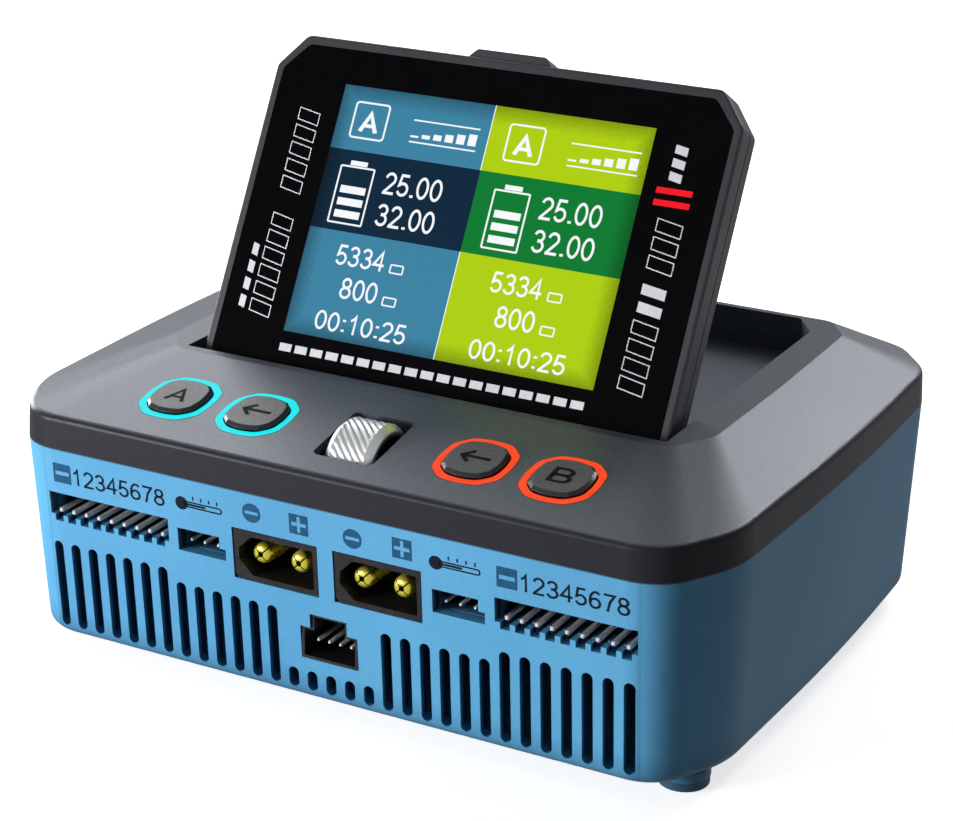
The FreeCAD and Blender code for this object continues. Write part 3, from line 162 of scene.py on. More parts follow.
def finish(name, shade, tint, rough, grain=900.0, depth=0.000012, strength=0.3, patch=60.0,
           metal=0.0, specular=0.5, coat=0.0):
    """A surface whose colour drifts between two tones and whose fine grain sets gloss and bump."""
    graph = Graph(name)
    fine = graph.noise(grain, 4.0)
    drift = graph.noise(patch, 2.0)
    blend = graph.math("ADD", graph.spread(drift, 0.0, 0.6, 0.3, 0.7),
                       graph.spread(fine, 0.0, 0.4, 0.3, 0.7))
    graph.set(Base_Color=graph.mix(blend, shade, tint),
              Roughness=graph.spread(fine, rough[0], rough[1], 0.3, 0.7),
              Normal=graph.bump(fine, strength, depth), Metallic=metal,
              Coat_Weight=coat)
    graph.put(graph.shader, "Specular IOR Level", specular)
    return graph


def lower_shell():
    """Matt blue outside, with painted shade: navy within the walls, lighter where those faces look
    up, and darker where the two halves meet and towards the bottom edge.
    """
    graph = finish("blue_shell", colour(74, 148, 196), colour(98, 175, 220), (0.42, 0.52),
                   grain=3000.0, depth=0.000008, strength=0.25, patch=25.0, specular=0.38)
    shade = graph.shader.inputs["Base Color"].links[0].from_socket
    height = graph.axis("Z")
    slope, inner_rear, inner_side, inner_floor = 0.0752, 0.0495, 0.0535, 0.0034
    lean = graph.math("MULTIPLY", graph.math("SUBTRACT", SEAM_Z * MM, height), slope)
    behind = graph.math("SUBTRACT", graph.math("SUBTRACT", graph.axis("Y"), FRONT_Y * MM), lean)
    ahead = graph.math("SUBTRACT", inner_rear, graph.axis("Y"))
    beside = graph.math("SUBTRACT", inner_side, graph.math("ABSOLUTE", graph.axis("X")))
    over = graph.math("SUBTRACT", height, inner_floor)
    inner = graph.math("MINIMUM", graph.math("MINIMUM", behind, ahead),
                       graph.math("MINIMUM", beside, over))
    # Painted shade: faces within the walls are turned navy, less so where they look up towards the
    # light.
    inner_shade = graph.spread(inner, 0.0, 1.0, 0.0001, 0.0011)
    open_sky = graph.spread(graph.facing_up(), 1.0, 0.15, 0.0, 0.8)
    inner_shade = graph.math("MULTIPLY", inner_shade, open_sky)
    # Painted shade: darker towards the bottom edge and in a thin strip just below where the two
    # halves meet.
    low = graph.spread(height, 0.5, 1.0, 0.0028, 0.0085)
    seam_shade = graph.spread(height, 1.0, 0.25, 0.03705, 0.0372)
    outer = graph.mix(graph.math("MULTIPLY", low, seam_shade), colour(8, 26, 44), shade)
    graph.set(Base_Color=graph.mix(inner_shade, outer, colour(22, 48, 72)))
    return graph.material


def upper_shell():
    """Grained grey on the top, its recess and its slopes; smooth charcoal on the band below."""
    graph = Graph("grey_shell")
    fine = graph.noise(3600.0, 2.0)
    flakes = graph.noise(5200.0, 1.0)
    grey = graph.mix(graph.spread(flakes, 0.0, 1.0, 0.3, 0.7), colour(66, 72, 80),
                     colour(91, 98, 109))
    band = graph.mix(graph.noise(500.0), colour(40, 40, 47), colour(46, 46, 54))
    on_top = graph.spread(graph.axis("Z"), 0.0, 1.0, 0.04262, 0.04285)
    recess_half, recess_front, recess_rear = 0.046, -0.030, 0.0446
    across = graph.math("SUBTRACT", graph.math("ABSOLUTE", graph.axis("X")), recess_half)
    front = graph.math("SUBTRACT", recess_front, graph.axis("Y"))
    rear = graph.math("SUBTRACT", graph.axis("Y"), recess_rear)
    outside = graph.math("MAXIMUM", across, graph.math("MAXIMUM", front, rear))
    in_recess = graph.spread(outside, 1.0, 0.0, -0.0001, 0.0001)
    top = graph.math("MAXIMUM", on_top, in_recess)
    graph.set(Base_Color=graph.mix(top, band, grey), Metallic=graph.spread(top, 0.0, 0.3),
              Roughness=graph.spread(graph.math("ADD", top, graph.spread(fine, -0.1, 0.1)),
                                     0.37, 0.42),
              Normal=graph.bump(fine, 0.3, 0.000012))
    graph.put(graph.shader, "Specular IOR Level", graph.spread(top, 0.12, 0.45))
    return graph.material


def light_guide(name, tone, strength):
    """A ring that glows on its upper face only; its walls are opaque."""
    graph = Graph(name)
    drift = graph.noise(300.0, 2.0)
    bright = graph.mix(graph.spread(drift, 0.0, 1.0, 0.3, 0.7),
                       tuple(0.9 * c for c in tone[:3]) + (1.0,), tone)
    face = graph.spread(graph.above_panel(), 0.0, strength, 0.00002, 0.00004)
    graph.set(Base_Color=(0.004, 0.004, 0.004, 1.0), Roughness=graph.spread(drift, 0.5, 0.6),
              Emission_Color=bright, Emission_Strength=face)
    graph.put(graph.shader, "Specular IOR Level", 0.1)
    return graph.material


def key_surface():
    """Grained key tops, smooth darker bevels and walls painted black as shade, by height in the
    key's own frame.
    """
    graph = finish("key_caps", colour(66, 67, 70), colour(104, 106, 110), (0.36, 0.5),
                   grain=4200.0, depth=0.00002, strength=0.5, patch=3000.0, specular=0.3)
    shade = graph.shader.inputs["Base Color"].links[0].from_socket
    gloss = graph.shader.inputs["Roughness"].links[0].from_socket
    height = graph.axis("Z")
    top = graph.spread(height, 0.0, 1.0, (KEY_TOP - 0.03) * MM, (KEY_TOP - 0.01) * MM)
    # Painted shade: the walls below the bevel are painted near black where they stand in shadow.
    above_wall_shade = graph.spread(height, 0.0, 1.0, 0.0003, 0.00034)
    lit = graph.mix(top, colour(52, 53, 57), shade)
    bevel_rough = 0.24
    extra = graph.math("MULTIPLY", top, graph.math("SUBTRACT", gloss, bevel_rough))
    smooth = graph.math("ADD", bevel_rough, extra)
    graph.set(Base_Color=graph.mix(above_wall_shade, (0.002, 0.002, 0.003, 1.0), lit), Roughness=smooth)
    return graph.material


def bullet_gold():
    """Gold, with the slits and the hole on each power pin's own axis painted dark as shade."""
    graph = finish("gold_plate", colour(240, 224, 60), colour(255, 244, 110), (0.24, 0.32),
                   grain=800.0, metal=0.7, depth=0.000001, strength=0.1)
    shade = graph.shader.inputs["Base Color"].links[0].from_socket
    hole, slit_half = 0.00032, 0.00012
    pair = graph.math("ABSOLUTE", graph.math("SUBTRACT", graph.math("ABSOLUTE", graph.axis("X")),
                                             OUTPUT_X * MM))
    across = graph.math("ABSOLUTE", graph.math("SUBTRACT", pair, PIN_REACH * MM))
    up = graph.math("ABSOLUTE", graph.math("SUBTRACT", graph.axis("Z"), OUTPUT_Z * MM))
    reach = graph.math("SQRT", graph.math("ADD", graph.math("MULTIPLY", across, across),
                                          graph.math("MULTIPLY", up, up)))
    slit = graph.math("ABSOLUTE", graph.math("SUBTRACT", across, up))
    near = graph.math("MINIMUM", slit, graph.math("SUBTRACT", reach, hole))
    front = graph.math("LESS_THAN", graph.axis("Y"), 0.0)
    # Painted shade: the slits and the centre hole on the front of each pin are painted near black.
    dark = graph.math("MULTIPLY", graph.spread(near, 1.0, 0.0, slit_half, 0.00018), front)
    graph.set(Base_Color=graph.mix(dark, shade, (0.003, 0.003, 0.002, 1.0)))
    return graph.material


def header_nylon():
    """The plug headers' floors, with painted light and shade: blue where light falls in at their
    openings, fading to navy shade towards the back.
    """
    graph = finish("header_blue", colour(10, 24, 36), colour(16, 34, 50), (0.5, 0.65),
                   grain=1500.0, specular=0.2)
    shade = graph.shader.inputs["Base Color"].links[0].from_socket
    front, back = -0.0512, -0.0458
    # Painted light and shade: blue where light reaches the openings, navy shade deeper in.
    mouth_light = graph.spread(graph.axis("Y"), 1.0, 0.0, front, back)
    graph.set(Base_Color=graph.mix(mouth_light, shade, colour(110, 180, 225)))
    return graph.material


def glowing(name, tone, strength):
    """An even glow of one tone, such as the display's white figures."""
    graph = Graph(name)
    drift = graph.noise(400.0, 2.0)
    bright = graph.mix(graph.spread(drift, 0.0, 1.0, 0.3, 0.7),
                       tuple(0.94 * c for c in tone[:3]) + (1.0,), tone)
    graph.set(Base_Color=(0.0, 0.0, 0.0, 1.0), Roughness=graph.spread(drift, 0.4, 0.5),
              Emission_Color=bright, Emission_Strength=strength)
    graph.put(graph.shader, "Specular IOR Level", 0.05)
    return graph.material


def display_glow():
    """The lit display: two halves, a darker band across each, and a soft painted shadow along its
    edge.
    """
    graph = Graph("display_glow")
    across, up = graph.axis("X"), graph.axis("Y")
    right = graph.math("GREATER_THAN", across, 0.0)
    in_band = graph.math("MULTIPLY", graph.math("GREATER_THAN", up, BAND_LOW * MM),
                         graph.math("LESS_THAN", up, BAND_HIGH * MM))
    plain = graph.mix(right, colour(60, 130, 162), colour(174, 207, 10))
    dark = graph.mix(right, colour(6, 38, 60), colour(6, 122, 48))
    field = graph.mix(in_band, plain, dark)
    # Painted shadow: the glow dims towards the display's edge, like the shadow under the
    # surrounding frame.
    side = graph.math("SUBTRACT", DISPLAY_HALF * MM, graph.math("ABSOLUTE", across))
    low = graph.math("SUBTRACT", up, DISPLAY_LOW * MM)
    high = graph.math("SUBTRACT", DISPLAY_HIGH * MM, up)
    edge = graph.math("MINIMUM", side, graph.math("MINIMUM", low, high))
    edge_shadow = graph.spread(edge, 0.5, 1.06, 0.0, 0.0034)
    grain = graph.spread(graph.noise(2500.0, 2.0), 0.93, 1.07, 0.3, 0.7)
    level = graph.math("MULTIPLY", edge_shadow, grain)
    lit = graph.mix(level, (0.0, 0.0, 0.0, 1.0), field)
    graph.set(Base_Color=(0.0, 0.0, 0.0, 1.0), Emission_Color=lit, Emission_Strength=1.0,
              Roughness=graph.spread(grain, 0.2, 0.26, 0.9, 1.1))
    graph.put(graph.shader, "Specular IOR Level", 0.15)
    return graph.material


MATERIALS = {
    "case_blue": lower_shell(),
    "case_grey": upper_shell(),
    "foot_rubber": finish("foot_rubber", colour(24, 62, 92), colour(32, 76, 110), (0.5, 0.65),
                          grain=1500.0).material,
    "steel": finish("zinc_steel", colour(150, 150, 155), colour(185, 185, 190), (0.25, 0.4),
                    grain=1200.0, metal=1.0).material,
    "screen_shell": finish("screen_shell", colour(38, 38, 44), colour(48, 48, 55), (0.36, 0.46),
                           grain=2600.0, depth=0.00001).material,
    "lens_glass": finish("lens_black", colour(2, 2, 3), colour(4, 4, 6), (0.16, 0.2), grain=300.0,
                         depth=0.000001, strength=0.02, specular=0.08).material,
    "lcd": finish("display_panel", colour(20, 20, 24), colour(32, 32, 38), (0.2, 0.3)).material,
    "board_green": finish("solder_resist", colour(8, 66, 36), colour(14, 84, 46), (0.25, 0.4),
                          grain=700.0, coat=0.2).material,
    "key_cap": key_surface(),
    "ring_cyan": light_guide("ring_cyan", colour(0, 236, 246), 1.0),
    "ring_red": light_guide("ring_red", colour(255, 74, 30), 1.0),
    "black_plastic": finish("black_plastic", colour(24, 24, 27), colour(34, 34, 38), (0.4, 0.55),
                            grain=1800.0).material,
    "led": finish("clear_diode", colour(200, 200, 180), colour(230, 230, 215),
                  (0.15, 0.3)).material,
    "chrome": finish("wheel_chrome", colour(226, 228, 228), colour(246, 248, 250), (0.3, 0.36),
                     grain=900.0, metal=0.62, strength=0.02, depth=0.000002).material,
    "connector_black": finish("connector_nylon", colour(15, 15, 18), colour(24, 24, 28),
                              (0.35, 0.5), grain=1500.0).material,
    "header_blue": header_nylon(),
    "gold": bullet_gold(),
    "tinned": finish("tin_plate", colour(236, 236, 240), colour(250, 250, 252), (0.3, 0.36),
                     grain=300.0, metal=0.3, depth=0.000001, strength=0.02).material,
    "heat_sink": finish("bare_aluminium", colour(165, 166, 170), colour(190, 191, 195), (0.3, 0.45),
                        grain=500.0, metal=1.0).material,
    "chip": finish("chip_epoxy", colour(22, 22, 24), colour(34, 34, 36), (0.45, 0.6)).material,
    "inductor": finish("iron_powder", colour(62, 62, 66), colour(84, 84, 88), (0.5, 0.7),
                       grain=1500.0, strength=0.6).material,
    "capacitor": finish("can_sleeve", colour(30, 34, 52), colour(44, 50, 74), (0.25, 0.4)).material,
    "ribbon": finish("ribbon_film", colour(170, 98, 24), colour(196, 120, 36),
                     (0.2, 0.35)).material,
    "display": display_glow(),
    "figures": glowing("figures_white", colour(250, 252, 255), 1.0),
    "print_white": finish("print_white", colour(196, 198, 204), colour(222, 224, 230),
                          (0.4, 0.5)).material,
    "print_red": finish("print_red", colour(250, 14, 30), colour(255, 22, 38), (0.5, 0.6),
                        specular=0.1).material,
    "ink_navy": finish("ink_navy", colour(5, 18, 32), colour(9, 25, 42), (0.6, 0.7),
                       specular=0.15).material,
    # Painted shade for the sunk symbol pockets on the front.
    "pocket_shade": finish("pocket_shade", colour(26, 74, 108), colour(36, 92, 130), (0.6, 0.7),
                         patch=500.0, specular=0.15).material,
    "ink_black": finish("ink_black", colour(5, 5, 6), colour(9, 9, 10), (0.6, 0.7),
                        specular=0.1).material,
    "hub_black": finish("hub_black", colour(12, 12, 14), colour(20, 20, 22), (0.3, 0.45)).material,
}
NODE_LOOKS = {
    "balance_header_a": "header_blue", "balance_header_b": "header_blue",
    "temp_header_a": "header_blue", "temp_header_b": "header_blue",
    "roller_hub": "hub_black", "roller_guide": "hub_black",
}
for part in frame["record"]["subparts"]:
    name = part["node"]
    look = MATERIALS[NODE_LOOKS.get(name, part["material_slot"])]
    slots = nodes[name].data.materials
    slots.clear()
    slots.append(look)


# ---------------------------------------------------------------- flat drawings

class Drawing:
    """Flat shapes in millimetres that become one thin piece."""

    def __init__(self):
        self.points = []
        self.faces = []

    def polygon(self, corners):
        first = len(self.points)
        self.points += [(x, y) for x, y in corners]
        self.faces.append(list(range(first, first + len(corners))))

    def rectangle(self, x_low, x_high, y_low, y_high):
        self.polygon([(x_low, y_low), (x_high, y_low), (x_high, y_high), (x_low, y_high)])

    def line(self, outline, width):
        """A closed anticlockwise outline, drawn inwards at a width."""
        inner = inset(outline, width)
        first, count = len(self.points), len(outline)
        self.points += list(outline) + inner
        for i in range(count):
            k = (i + 1) % count
            self.faces.append([first + i, first + k, first + count + k, first + count + i])

    def box(self, x_low, x_high, y_low, y_high, width, corner=0.0):
        self.line(rounded_box(x_low, x_high, y_low, y_high, corner), width)

    def disc(self, x, y, radius, low=0.0, high=360.0):
        count = 32
        self.polygon([(x + radius * math.cos(math.radians(low + (high - low) * i / count)),
                       y + radius * math.sin(math.radians(low + (high - low) * i / count)))
                      for i in range(count if high - low == 360.0 else count + 1)])

    def figures(self, text, x, y, tall, wide, width=0.18):
        """Numerals or a single key letter, fitted to a box whose low left corner is given."""
        points, faces = glyphs(text, width)
        low_x, high_x = min(p[0] for p in points), max(p[0] for p in points)
        low_y, high_y = min(p[1] for p in points), max(p[1] for p in points)
        across, up = wide / (high_x - low_x), tall / (high_y - low_y)
        first = len(self.points)
        self.points += [(x + (p[0] - low_x) * across, y + (p[1] - low_y) * up) for p in points]
        self.faces += [[first + i for i in face] for face in faces]

    def turned(self, angle, x, y):
        """The same drawing turned about its origin and moved."""
        c, s = math.cos(math.radians(angle)), math.sin(math.radians(angle))
        self.points = [(x + p[0] * c - p[1] * s, y + p[0] * s + p[1] * c) for p in self.points]
        return self

    def add(self, other):
        first = len(self.points)
        self.points += other.points
        self.faces += [[first + i for i in face] for face in other.faces]


def inset(outline, width):
    """An anticlockwise outline moved inwards by a width."""
    count = len(outline)
    moved = []
    for i in range(count):
        before, here, after = (Vector(outline[j % count]) for j in (i - 1, i, i + 1))
        a, b = (here - before).normalized(), (after - here).normalized()
        normal = Vector((-a.y - b.y, a.x + b.x))
        scale = width / max(0.3, normal.dot(Vector((-a.y, a.x))))
        moved.append(tuple(here + normal * scale))
    return moved


def rounded_box(x_low, x_high, y_low, y_high, corner):
    if not corner:
        return [(x_low, y_low), (x_high, y_low), (x_high, y_high), (x_low, y_high)]
    outline = []
    left, right, low, high = x_low + corner, x_high - corner, y_low + corner, y_high - corner
    for x, y, start in ((right, low, -90), (right, high, 0), (left, high, 90), (left, low, 180)):
        for step in range(5):
            turn = math.radians(start + step * 22.5)
            outline.append((x + corner * math.cos(turn), y + corner * math.sin(turn)))
    return outline


def arc(x, y, wide, tall, start, end):
    """Points along part of an ellipse, in degrees."""
    count = max(4, int(abs(end - start) / 15))
    return [(x + wide * math.cos(math.radians(start + (end - start) * i / count)),
             y + tall * math.sin(math.radians(start + (end - start) * i / count)))
            for i in range(count + 1)]


SIX = [arc(0.5, 0.43, 0.39, 0.37, 0, 360), arc(0.57, 0.66, 0.47, 0.68, 52, 200)]
STROKES = {
    "0": [arc(0.5, 0.7, 0.40, 0.64, 0, 360)],
    "1": [[(0.2, 1.0), (0.42, 1.13), (0.58, 1.38), (0.58, 0.0)]],
    "2": [arc(0.5, 0.99, 0.38, 0.35, 172, -38) + [(0.10, 0.08), (0.10, 0.06), (0.92, 0.06)]],
    "3": [arc(0.46, 1.03, 0.35, 0.31, 165, -90) + arc(0.46, 0.40, 0.40, 0.34, 90, -165)],
    "4": [[(0.68, 0.0), (0.68, 1.34), (0.04, 0.42), (0.96, 0.42)]],
    "5": [[(0.86, 1.34), (0.26, 1.34), (0.15, 0.68)] + arc(0.48, 0.44, 0.40, 0.38, 138, -158)],
    "6": SIX,
    "7": [[(0.08, 1.34), (0.92, 1.34), (0.56, 0.78), (0.36, 0.0)]],
    "8": [arc(0.5, 1.04, 0.33, 0.30, 0, 360), arc(0.5, 0.39, 0.40, 0.34, 0, 360)],
    "9": [[(1 - x, 1.4 - y) for x, y in stroke] for stroke in SIX],
    "A": [[(0.02, 0.0), (0.5, 1.38), (0.98, 0.0)], [(0.2, 0.46), (0.8, 0.46)]],
    "B": [[(0.5, 0.72), (0.12, 0.72), (0.12, 1.34)] + arc(0.56, 1.03, 0.30, 0.31, 90, -90)
          + [(0.12, 0.72), (0.12, 0.06)] + arc(0.56, 0.39, 0.35, 0.33, -90, 90)],
    ".": [[(0.2, 0.0), (0.2, 0.16)]],
    ":": [[(0.25, 0.1), (0.25, 0.26)], [(0.25, 0.84), (0.25, 1.0)]],
}
ADVANCE = {".": 0.5, ":": 0.6}


def ribbon(points, width):
    """A line of constant width along a run of points, as points and four-cornered faces."""
    closed = math.dist(points[0], points[-1]) < 1e-6
    run = points[:-1] if closed else points
    count = len(run)
    edges = []
    for i, here in enumerate(run):
        before = run[i - 1] if closed or i else here
        after = run[(i + 1) % count] if closed or i < count - 1 else here
        a, b = Vector(here) - Vector(before), Vector(after) - Vector(here)
        a = a.normalized() if a.length else b.normalized()
        b = b.normalized() if b.length else a
        normal = Vector((-a.y - b.y, a.x + b.x)).normalized()
        reach = width / 2 / max(0.45, normal.dot(Vector((-a.y, a.x))))
        edges += [tuple(Vector(here) - normal * reach), tuple(Vector(here) + normal * reach)]
    faces = [[2 * i, (2 * i + 2) % (2 * count), (2 * i + 3) % (2 * count), 2 * i + 1]
             for i in range(count if closed else count - 1)]
    return edges, faces


def glyphs(text, width):
    """A few plain numerals or letters, as points and faces."""
    points, faces, start = [], [], 0.0
    for sign in text:
        for stroke in STROKES[sign]:
            thick = 1.5 * width if sign in ADVANCE else width
            corners, quads = ribbon([(start + x, y) for x, y in stroke], thick)
            faces += [[len(points) + i for i in quad] for quad in quads]
            points += corners
        start += ADVANCE.get(sign, 1.13)
    return points, faces


def piece(name, points, faces, place, look, body):
    """A mesh in a frame of its own that rides on a CAD body."""
    mesh = bpy.data.meshes.new(name)
    mesh.from_pydata(points, [], faces)
    mesh.materials.append(MATERIALS[look])
    made = bpy.data.objects.new(name, mesh)
    scene.collection.objects.link(made)
    made.matrix_world = place
    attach(made, body)
    return made


def printed(name, drawing, place, height, look, body):
    """A drawing laid on a face, with a little thickness of its own."""
    points = [(x * MM, y * MM, height * MM) for x, y in drawing.points]
    made = piece(name, points, drawing.faces, place, look, body)
    skin = made.modifiers.new("ink", "SOLIDIFY")
    skin.thickness = INK_THICK * MM
    skin.offset = 1.0
    return made


# ---------------------------------------------------------------- the display

glass = Drawing()
glass.rectangle(-DISPLAY_HALF, DISPLAY_HALF, DISPLAY_LOW, DISPLAY_HIGH)
display = printed("display_image", glass, SCREEN, LENS_FACE + PRINT_LIFT, "display", "screen")
display.visible_diffuse = False

READOUTS = (("25.00", 12.0, 31.95, 3.8, 10.9), ("32.00", 12.0, 26.5, 3.8, 10.9),
            ("5334", 6.6, 19.0, 3.7, 9.1), ("800", 8.8, 13.5, 3.6, 7.0),
            ("00:10:25", 5.6, 7.8, 3.6, 17.2))


def readout(shift):
    """One output's half of the display: its letter, a battery with its level, and numerals."""
    half = Drawing()
    half.box(3.1, 9.8, 40.5, 46.9, 0.32, 0.7)
    half.figures("A", 4.6, 41.7, 3.9, 3.7, 0.26)
    half.box(3.1, 9.8, 25.8, 35.8, 0.3, 0.3)
    half.rectangle(4.9, 8.1, 35.9, 36.7)
    for low in (26.9, 29.0, 31.1):
        half.rectangle(4.1, 8.9, low, low + 1.25)
    half.rectangle(14.6, 27.0, 44.9, 45.15)
    half.rectangle(14.6, 27.0, 41.2, 41.45)
    for i in range(6):
        x = 14.6 + i * 2.14
        half.rectangle(x, x + 1.5, 42.1, 42.1 + 0.32 * (i + 1))
    for text, x, y, tall, wide in READOUTS:
        half.figures(text, x, y, tall, wide)
    for x, y in ((16.9, 19.05), (17.0, 13.55)):
        half.box(x, x + 2.6, y, y + 1.6, 0.25, 0.3)
    half.points = [(x + shift, y) for x, y in half.points]
    return half


figures = Drawing()
figures.add(readout(0.2))
figures.add(readout(-28.8))
for low, high in ((DISPLAY_LOW, BAND_LOW - 0.02), (BAND_HIGH, DISPLAY_HIGH)):
    figures.rectangle(-0.07, 0.07, low, high)
printed("display_figures", figures, SCREEN, LENS_FACE + 2 * PRINT_LIFT, "figures", "screen")


# ---------------------------------------------------------------- print on the lens

def slanted(drawing, x, y, wide, tall, lean, width=None):
    """A leaning block, as an outline if a line width is given."""
    corners = [(x, y), (x + wide, y), (x + wide + lean, y + tall), (x + lean, y + tall)]
    if width:
        drawing.line(corners, width)
    else:
        drawing.polygon(corners)


def level_scale(first, count, tall):
    """A row of outlined leaning blocks."""
    row = Drawing()
    for i in range(count):
        slanted(row, first + i * 3.0, 0, 2.2, tall, 0.8, 0.18)
    return row


lens_print = Drawing()
left_row = level_scale(0.0, 6, 4.2)
left_row.add(level_scale(21.5, 5, 4.2))
for i in range(4):
    slanted(left_row, 1.0 + 3.0 * i, 5.2, 2.0, 1.2, 0.3)
lens_print.add(left_row.turned(90, -32.0, 8.0))
right_row = level_scale(0.0, 4, 4.6)
right_row.add(level_scale(19.5, 3, 4.6))
for i in range(2):
    slanted(right_row, 12.6 + 2.9 * i, 0.2, 1.7, 4.2, 0.6)
for i in range(3):
    slanted(right_row, 34.3 + 2.2 * i, 2.2, 1.4, 2.2, 0.4)
lens_print.add(right_row.turned(90, 37.0, 6.8))
for i in range(19):
    lens_print.rectangle(-28.6 + 3.0 * i, -26.3 + 3.0 * i, 3.1, 4.4)
printed("lens_print", lens_print, SCREEN, LENS_FACE + PRINT_LIFT, "print_white", "screen")
bars = Drawing()
bars.rectangle(31.0, 37.2, 39.2, 40.2)
bars.rectangle(31.0, 37.2, 37.2, 38.2)
printed("lens_bars", bars, SCREEN, LENS_FACE + PRINT_LIFT, "print_red", "screen")


# ---------------------------------------------------------------- key legends

def arrow():
    mark = Drawing()
    for stroke in ([(-2.2, 0.0), (2.6, 0.0)], [(-0.7, -1.6), (-2.3, 0.0), (-0.7, 1.6)]):
        points, faces = ribbon(stroke, 0.66)
        first = len(mark.points)
        mark.points += points
        mark.faces += [[first + i for i in face] for face in faces]
    return mark


def letter(text):
    mark = Drawing()
    mark.figures(text, -1.9, -2.1, 4.2, 3.8, 0.2)
    return mark


def key_outline(shrink):
    """Four bowed sides joined by straight corner facets."""
    sides = ((4.85, 0.47), (5.1, 0.6), (4.85, 0.47), (5.1, 0.6))
    reach, steps = 3.05 - 0.35 * shrink, 8
    corners = []
    for turn, (half, bow) in enumerate(sides):
        c, s = (1, 0, -1, 0)[turn], (0, 1, 0, -1)[turn]
        for k in range(steps + 1):
            t = 2 * k / steps - 1
            u, v = half - shrink - bow * t * t, reach * t
            corners.append((u * c - v * s, u * s + v * c))
    return corners


def key_cap(name, x):
    """A pressed key: straight walls, a bevel all round and a flat top."""
    rings = [(0.0, -3.0), (0.0, KEY_TOP - 0.42), (0.55, KEY_TOP)]
    points, faces = [], []
    for shrink, height in rings:
        points += [(u * MM, v * MM, height * MM) for u, v in key_outline(shrink)]
    count = len(points) // len(rings)
    for k in range(len(rings) - 1):
        for i in range(count):
            j = (i + 1) % count
            faces.append([k * count + i, k * count + j, (k + 1) * count + j, (k + 1) * count + i])
    faces += [list(range(count))[::-1], [(len(rings) - 1) * count + i for i in range(count)]]
    place = PANEL @ Matrix.Translation((x * MM, KEY_ALONG * MM, 0))
    made = piece("cap_" + name, points, faces, place, "key_cap", name + "_key")
    edge = made.modifiers.new("edge", "BEVEL")
    edge.width = 0.07 * MM
    edge.segments = 2
    edge.limit_method = "ANGLE"
    edge.angle_limit = math.radians(20)
    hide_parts("key_" + name)


for name, x, mark in (("channel_a", -34.4, letter("A")), ("back_a", -19.7, arrow()),
                      ("back_b", 19.7, arrow()), ("channel_b", 34.4, letter("B"))):
    key_cap(name, x)
    mark.points = [(x + p[0], KEY_ALONG + p[1]) for p in mark.points]
    printed("legend_" + name, mark, PANEL, KEY_TOP + 0.01, "ink_black", name + "_key")


# ---------------------------------------------------------------- small pins

def small_pins(node, count, setback, rises):
    """Slim square pins with tapered tips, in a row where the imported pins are."""
    low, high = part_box(node)
    packed, half = 0.64 * MM, 0.23 * MM
    first = low.x + packed / 2
    pitch = (high.x - low.x - packed) / (count - 1)
    z = low.z + packed / 2 if rises else high.z - packed / 2
    points, faces = [], []
    for i in range(count):
        x = first + i * pitch
        start = len(points)
        for y, size in ((low.y + setback, 0.7 * half), (low.y + setback + 0.0002, half),
                        (high.y - 0.001, half)):
            points += [(x + a * size, y, z + b * size)
                       for a, b in ((-1, -1), (1, -1), (1, 1), (-1, 1))]
        for ring in (0, 4):
            for k in range(4):
                m = (k + 1) % 4
                faces.append([start + ring + k, start + ring + m, start + ring + 4 + m,
                              start + ring + 4 + k])
        faces += [[start + k for k in (3, 2, 1, 0)], [start + 8 + k for k in range(4)]]
    made = piece("fine_" + node, points, faces, Matrix(), "tinned", "case")
    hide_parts(node)


small_pins("temp_pins_a", 3, 0.6 * MM, False)
small_pins("temp_pins_b", 3, 0.6 * MM, False)
small_pins("data_port_pins", 4, 0.0, True)


# ---------------------------------------------------------------- marks on the front

def up_front(z):
    """A height above the standing face, as a distance along the leaning front."""
    return (z - SEAM_Z) / math.cos(math.radians(FRONT_LEAN))


pockets, strokes = Drawing(), Drawing()


def square_minus(x, z):
    """A sunk square, its pocket painted a darker blue as shade, with a bar of the case's own blue
    across it.
    """
    half = 1.7
    for low, high in ((-half, -0.35), (0.35, half)):
        pockets.rectangle(x - half, x + half, up_front(z + low), up_front(z + high))
    for low, high in ((-half, -1.35), (1.35, half)):
        pockets.rectangle(x + low, x + high, up_front(z - 0.35), up_front(z + 0.35))


def round_minus(x, z):
    y = up_front(z)
    radius, bar = 1.65, 0.28
    edge = math.degrees(math.asin(bar / radius))
    pockets.disc(x, y, radius, edge, 180 - edge)
    pockets.disc(x, y, radius, 180 + edge, 360 - edge)
    for low, high in ((-1.62, -1.25), (1.25, 1.62)):
        pockets.rectangle(x + low, x + high, y - bar, y + bar)


def square_plus(x, z):
    y = up_front(z)
    for sx in (-1, 1):
        for sy in (-1, 1):
            a, b = sorted((sx * 0.32, sx * 1.68))
            c, d = sorted((sy * 0.32, sy * 1.72))
            pockets.rectangle(x + a, x + b, y + c, y + d)
    for sx in (-1, 1):
        a, b = sorted((sx * 1.36, sx * 1.68))
        pockets.rectangle(x + a, x + b, y - 0.32, y + 0.32)
        pockets.rectangle(x - 0.32, x + 0.32, y + a, y + b)


def thermometer(x, z):
    """A plain lying thermometer beside a row of ticks."""
    y = up_front(z)
    strokes.disc(x - 3.3, y, 1.15)
    strokes.box(x - 2.9, x + 4.3, y - 0.55, y + 0.55, 0.24, 0.5)
    strokes.rectangle(x - 2.6, x + 1.2, y - 0.18, y + 0.18)
    for i in range(4):
        strokes.rectangle(x - 1.2 + 1.5 * i, x - 0.98 + 1.5 * i, y + 0.85, y + 1.5)


for side, first in ((-1, -47.2), (1, 33.9)):
    square_minus(-49.45 if side < 0 else 31.6, 33.1)
    strokes.figures("12345678", first, up_front(31.45), 3.25, 17.7)
    thermometer(-22.9 if side < 0 else 22.9, 32.9)
round_minus(-13.1, 33.97)
square_plus(-4.5, 33.85)
round_minus(5.1, 33.6)
square_plus(13.8, 33.85)
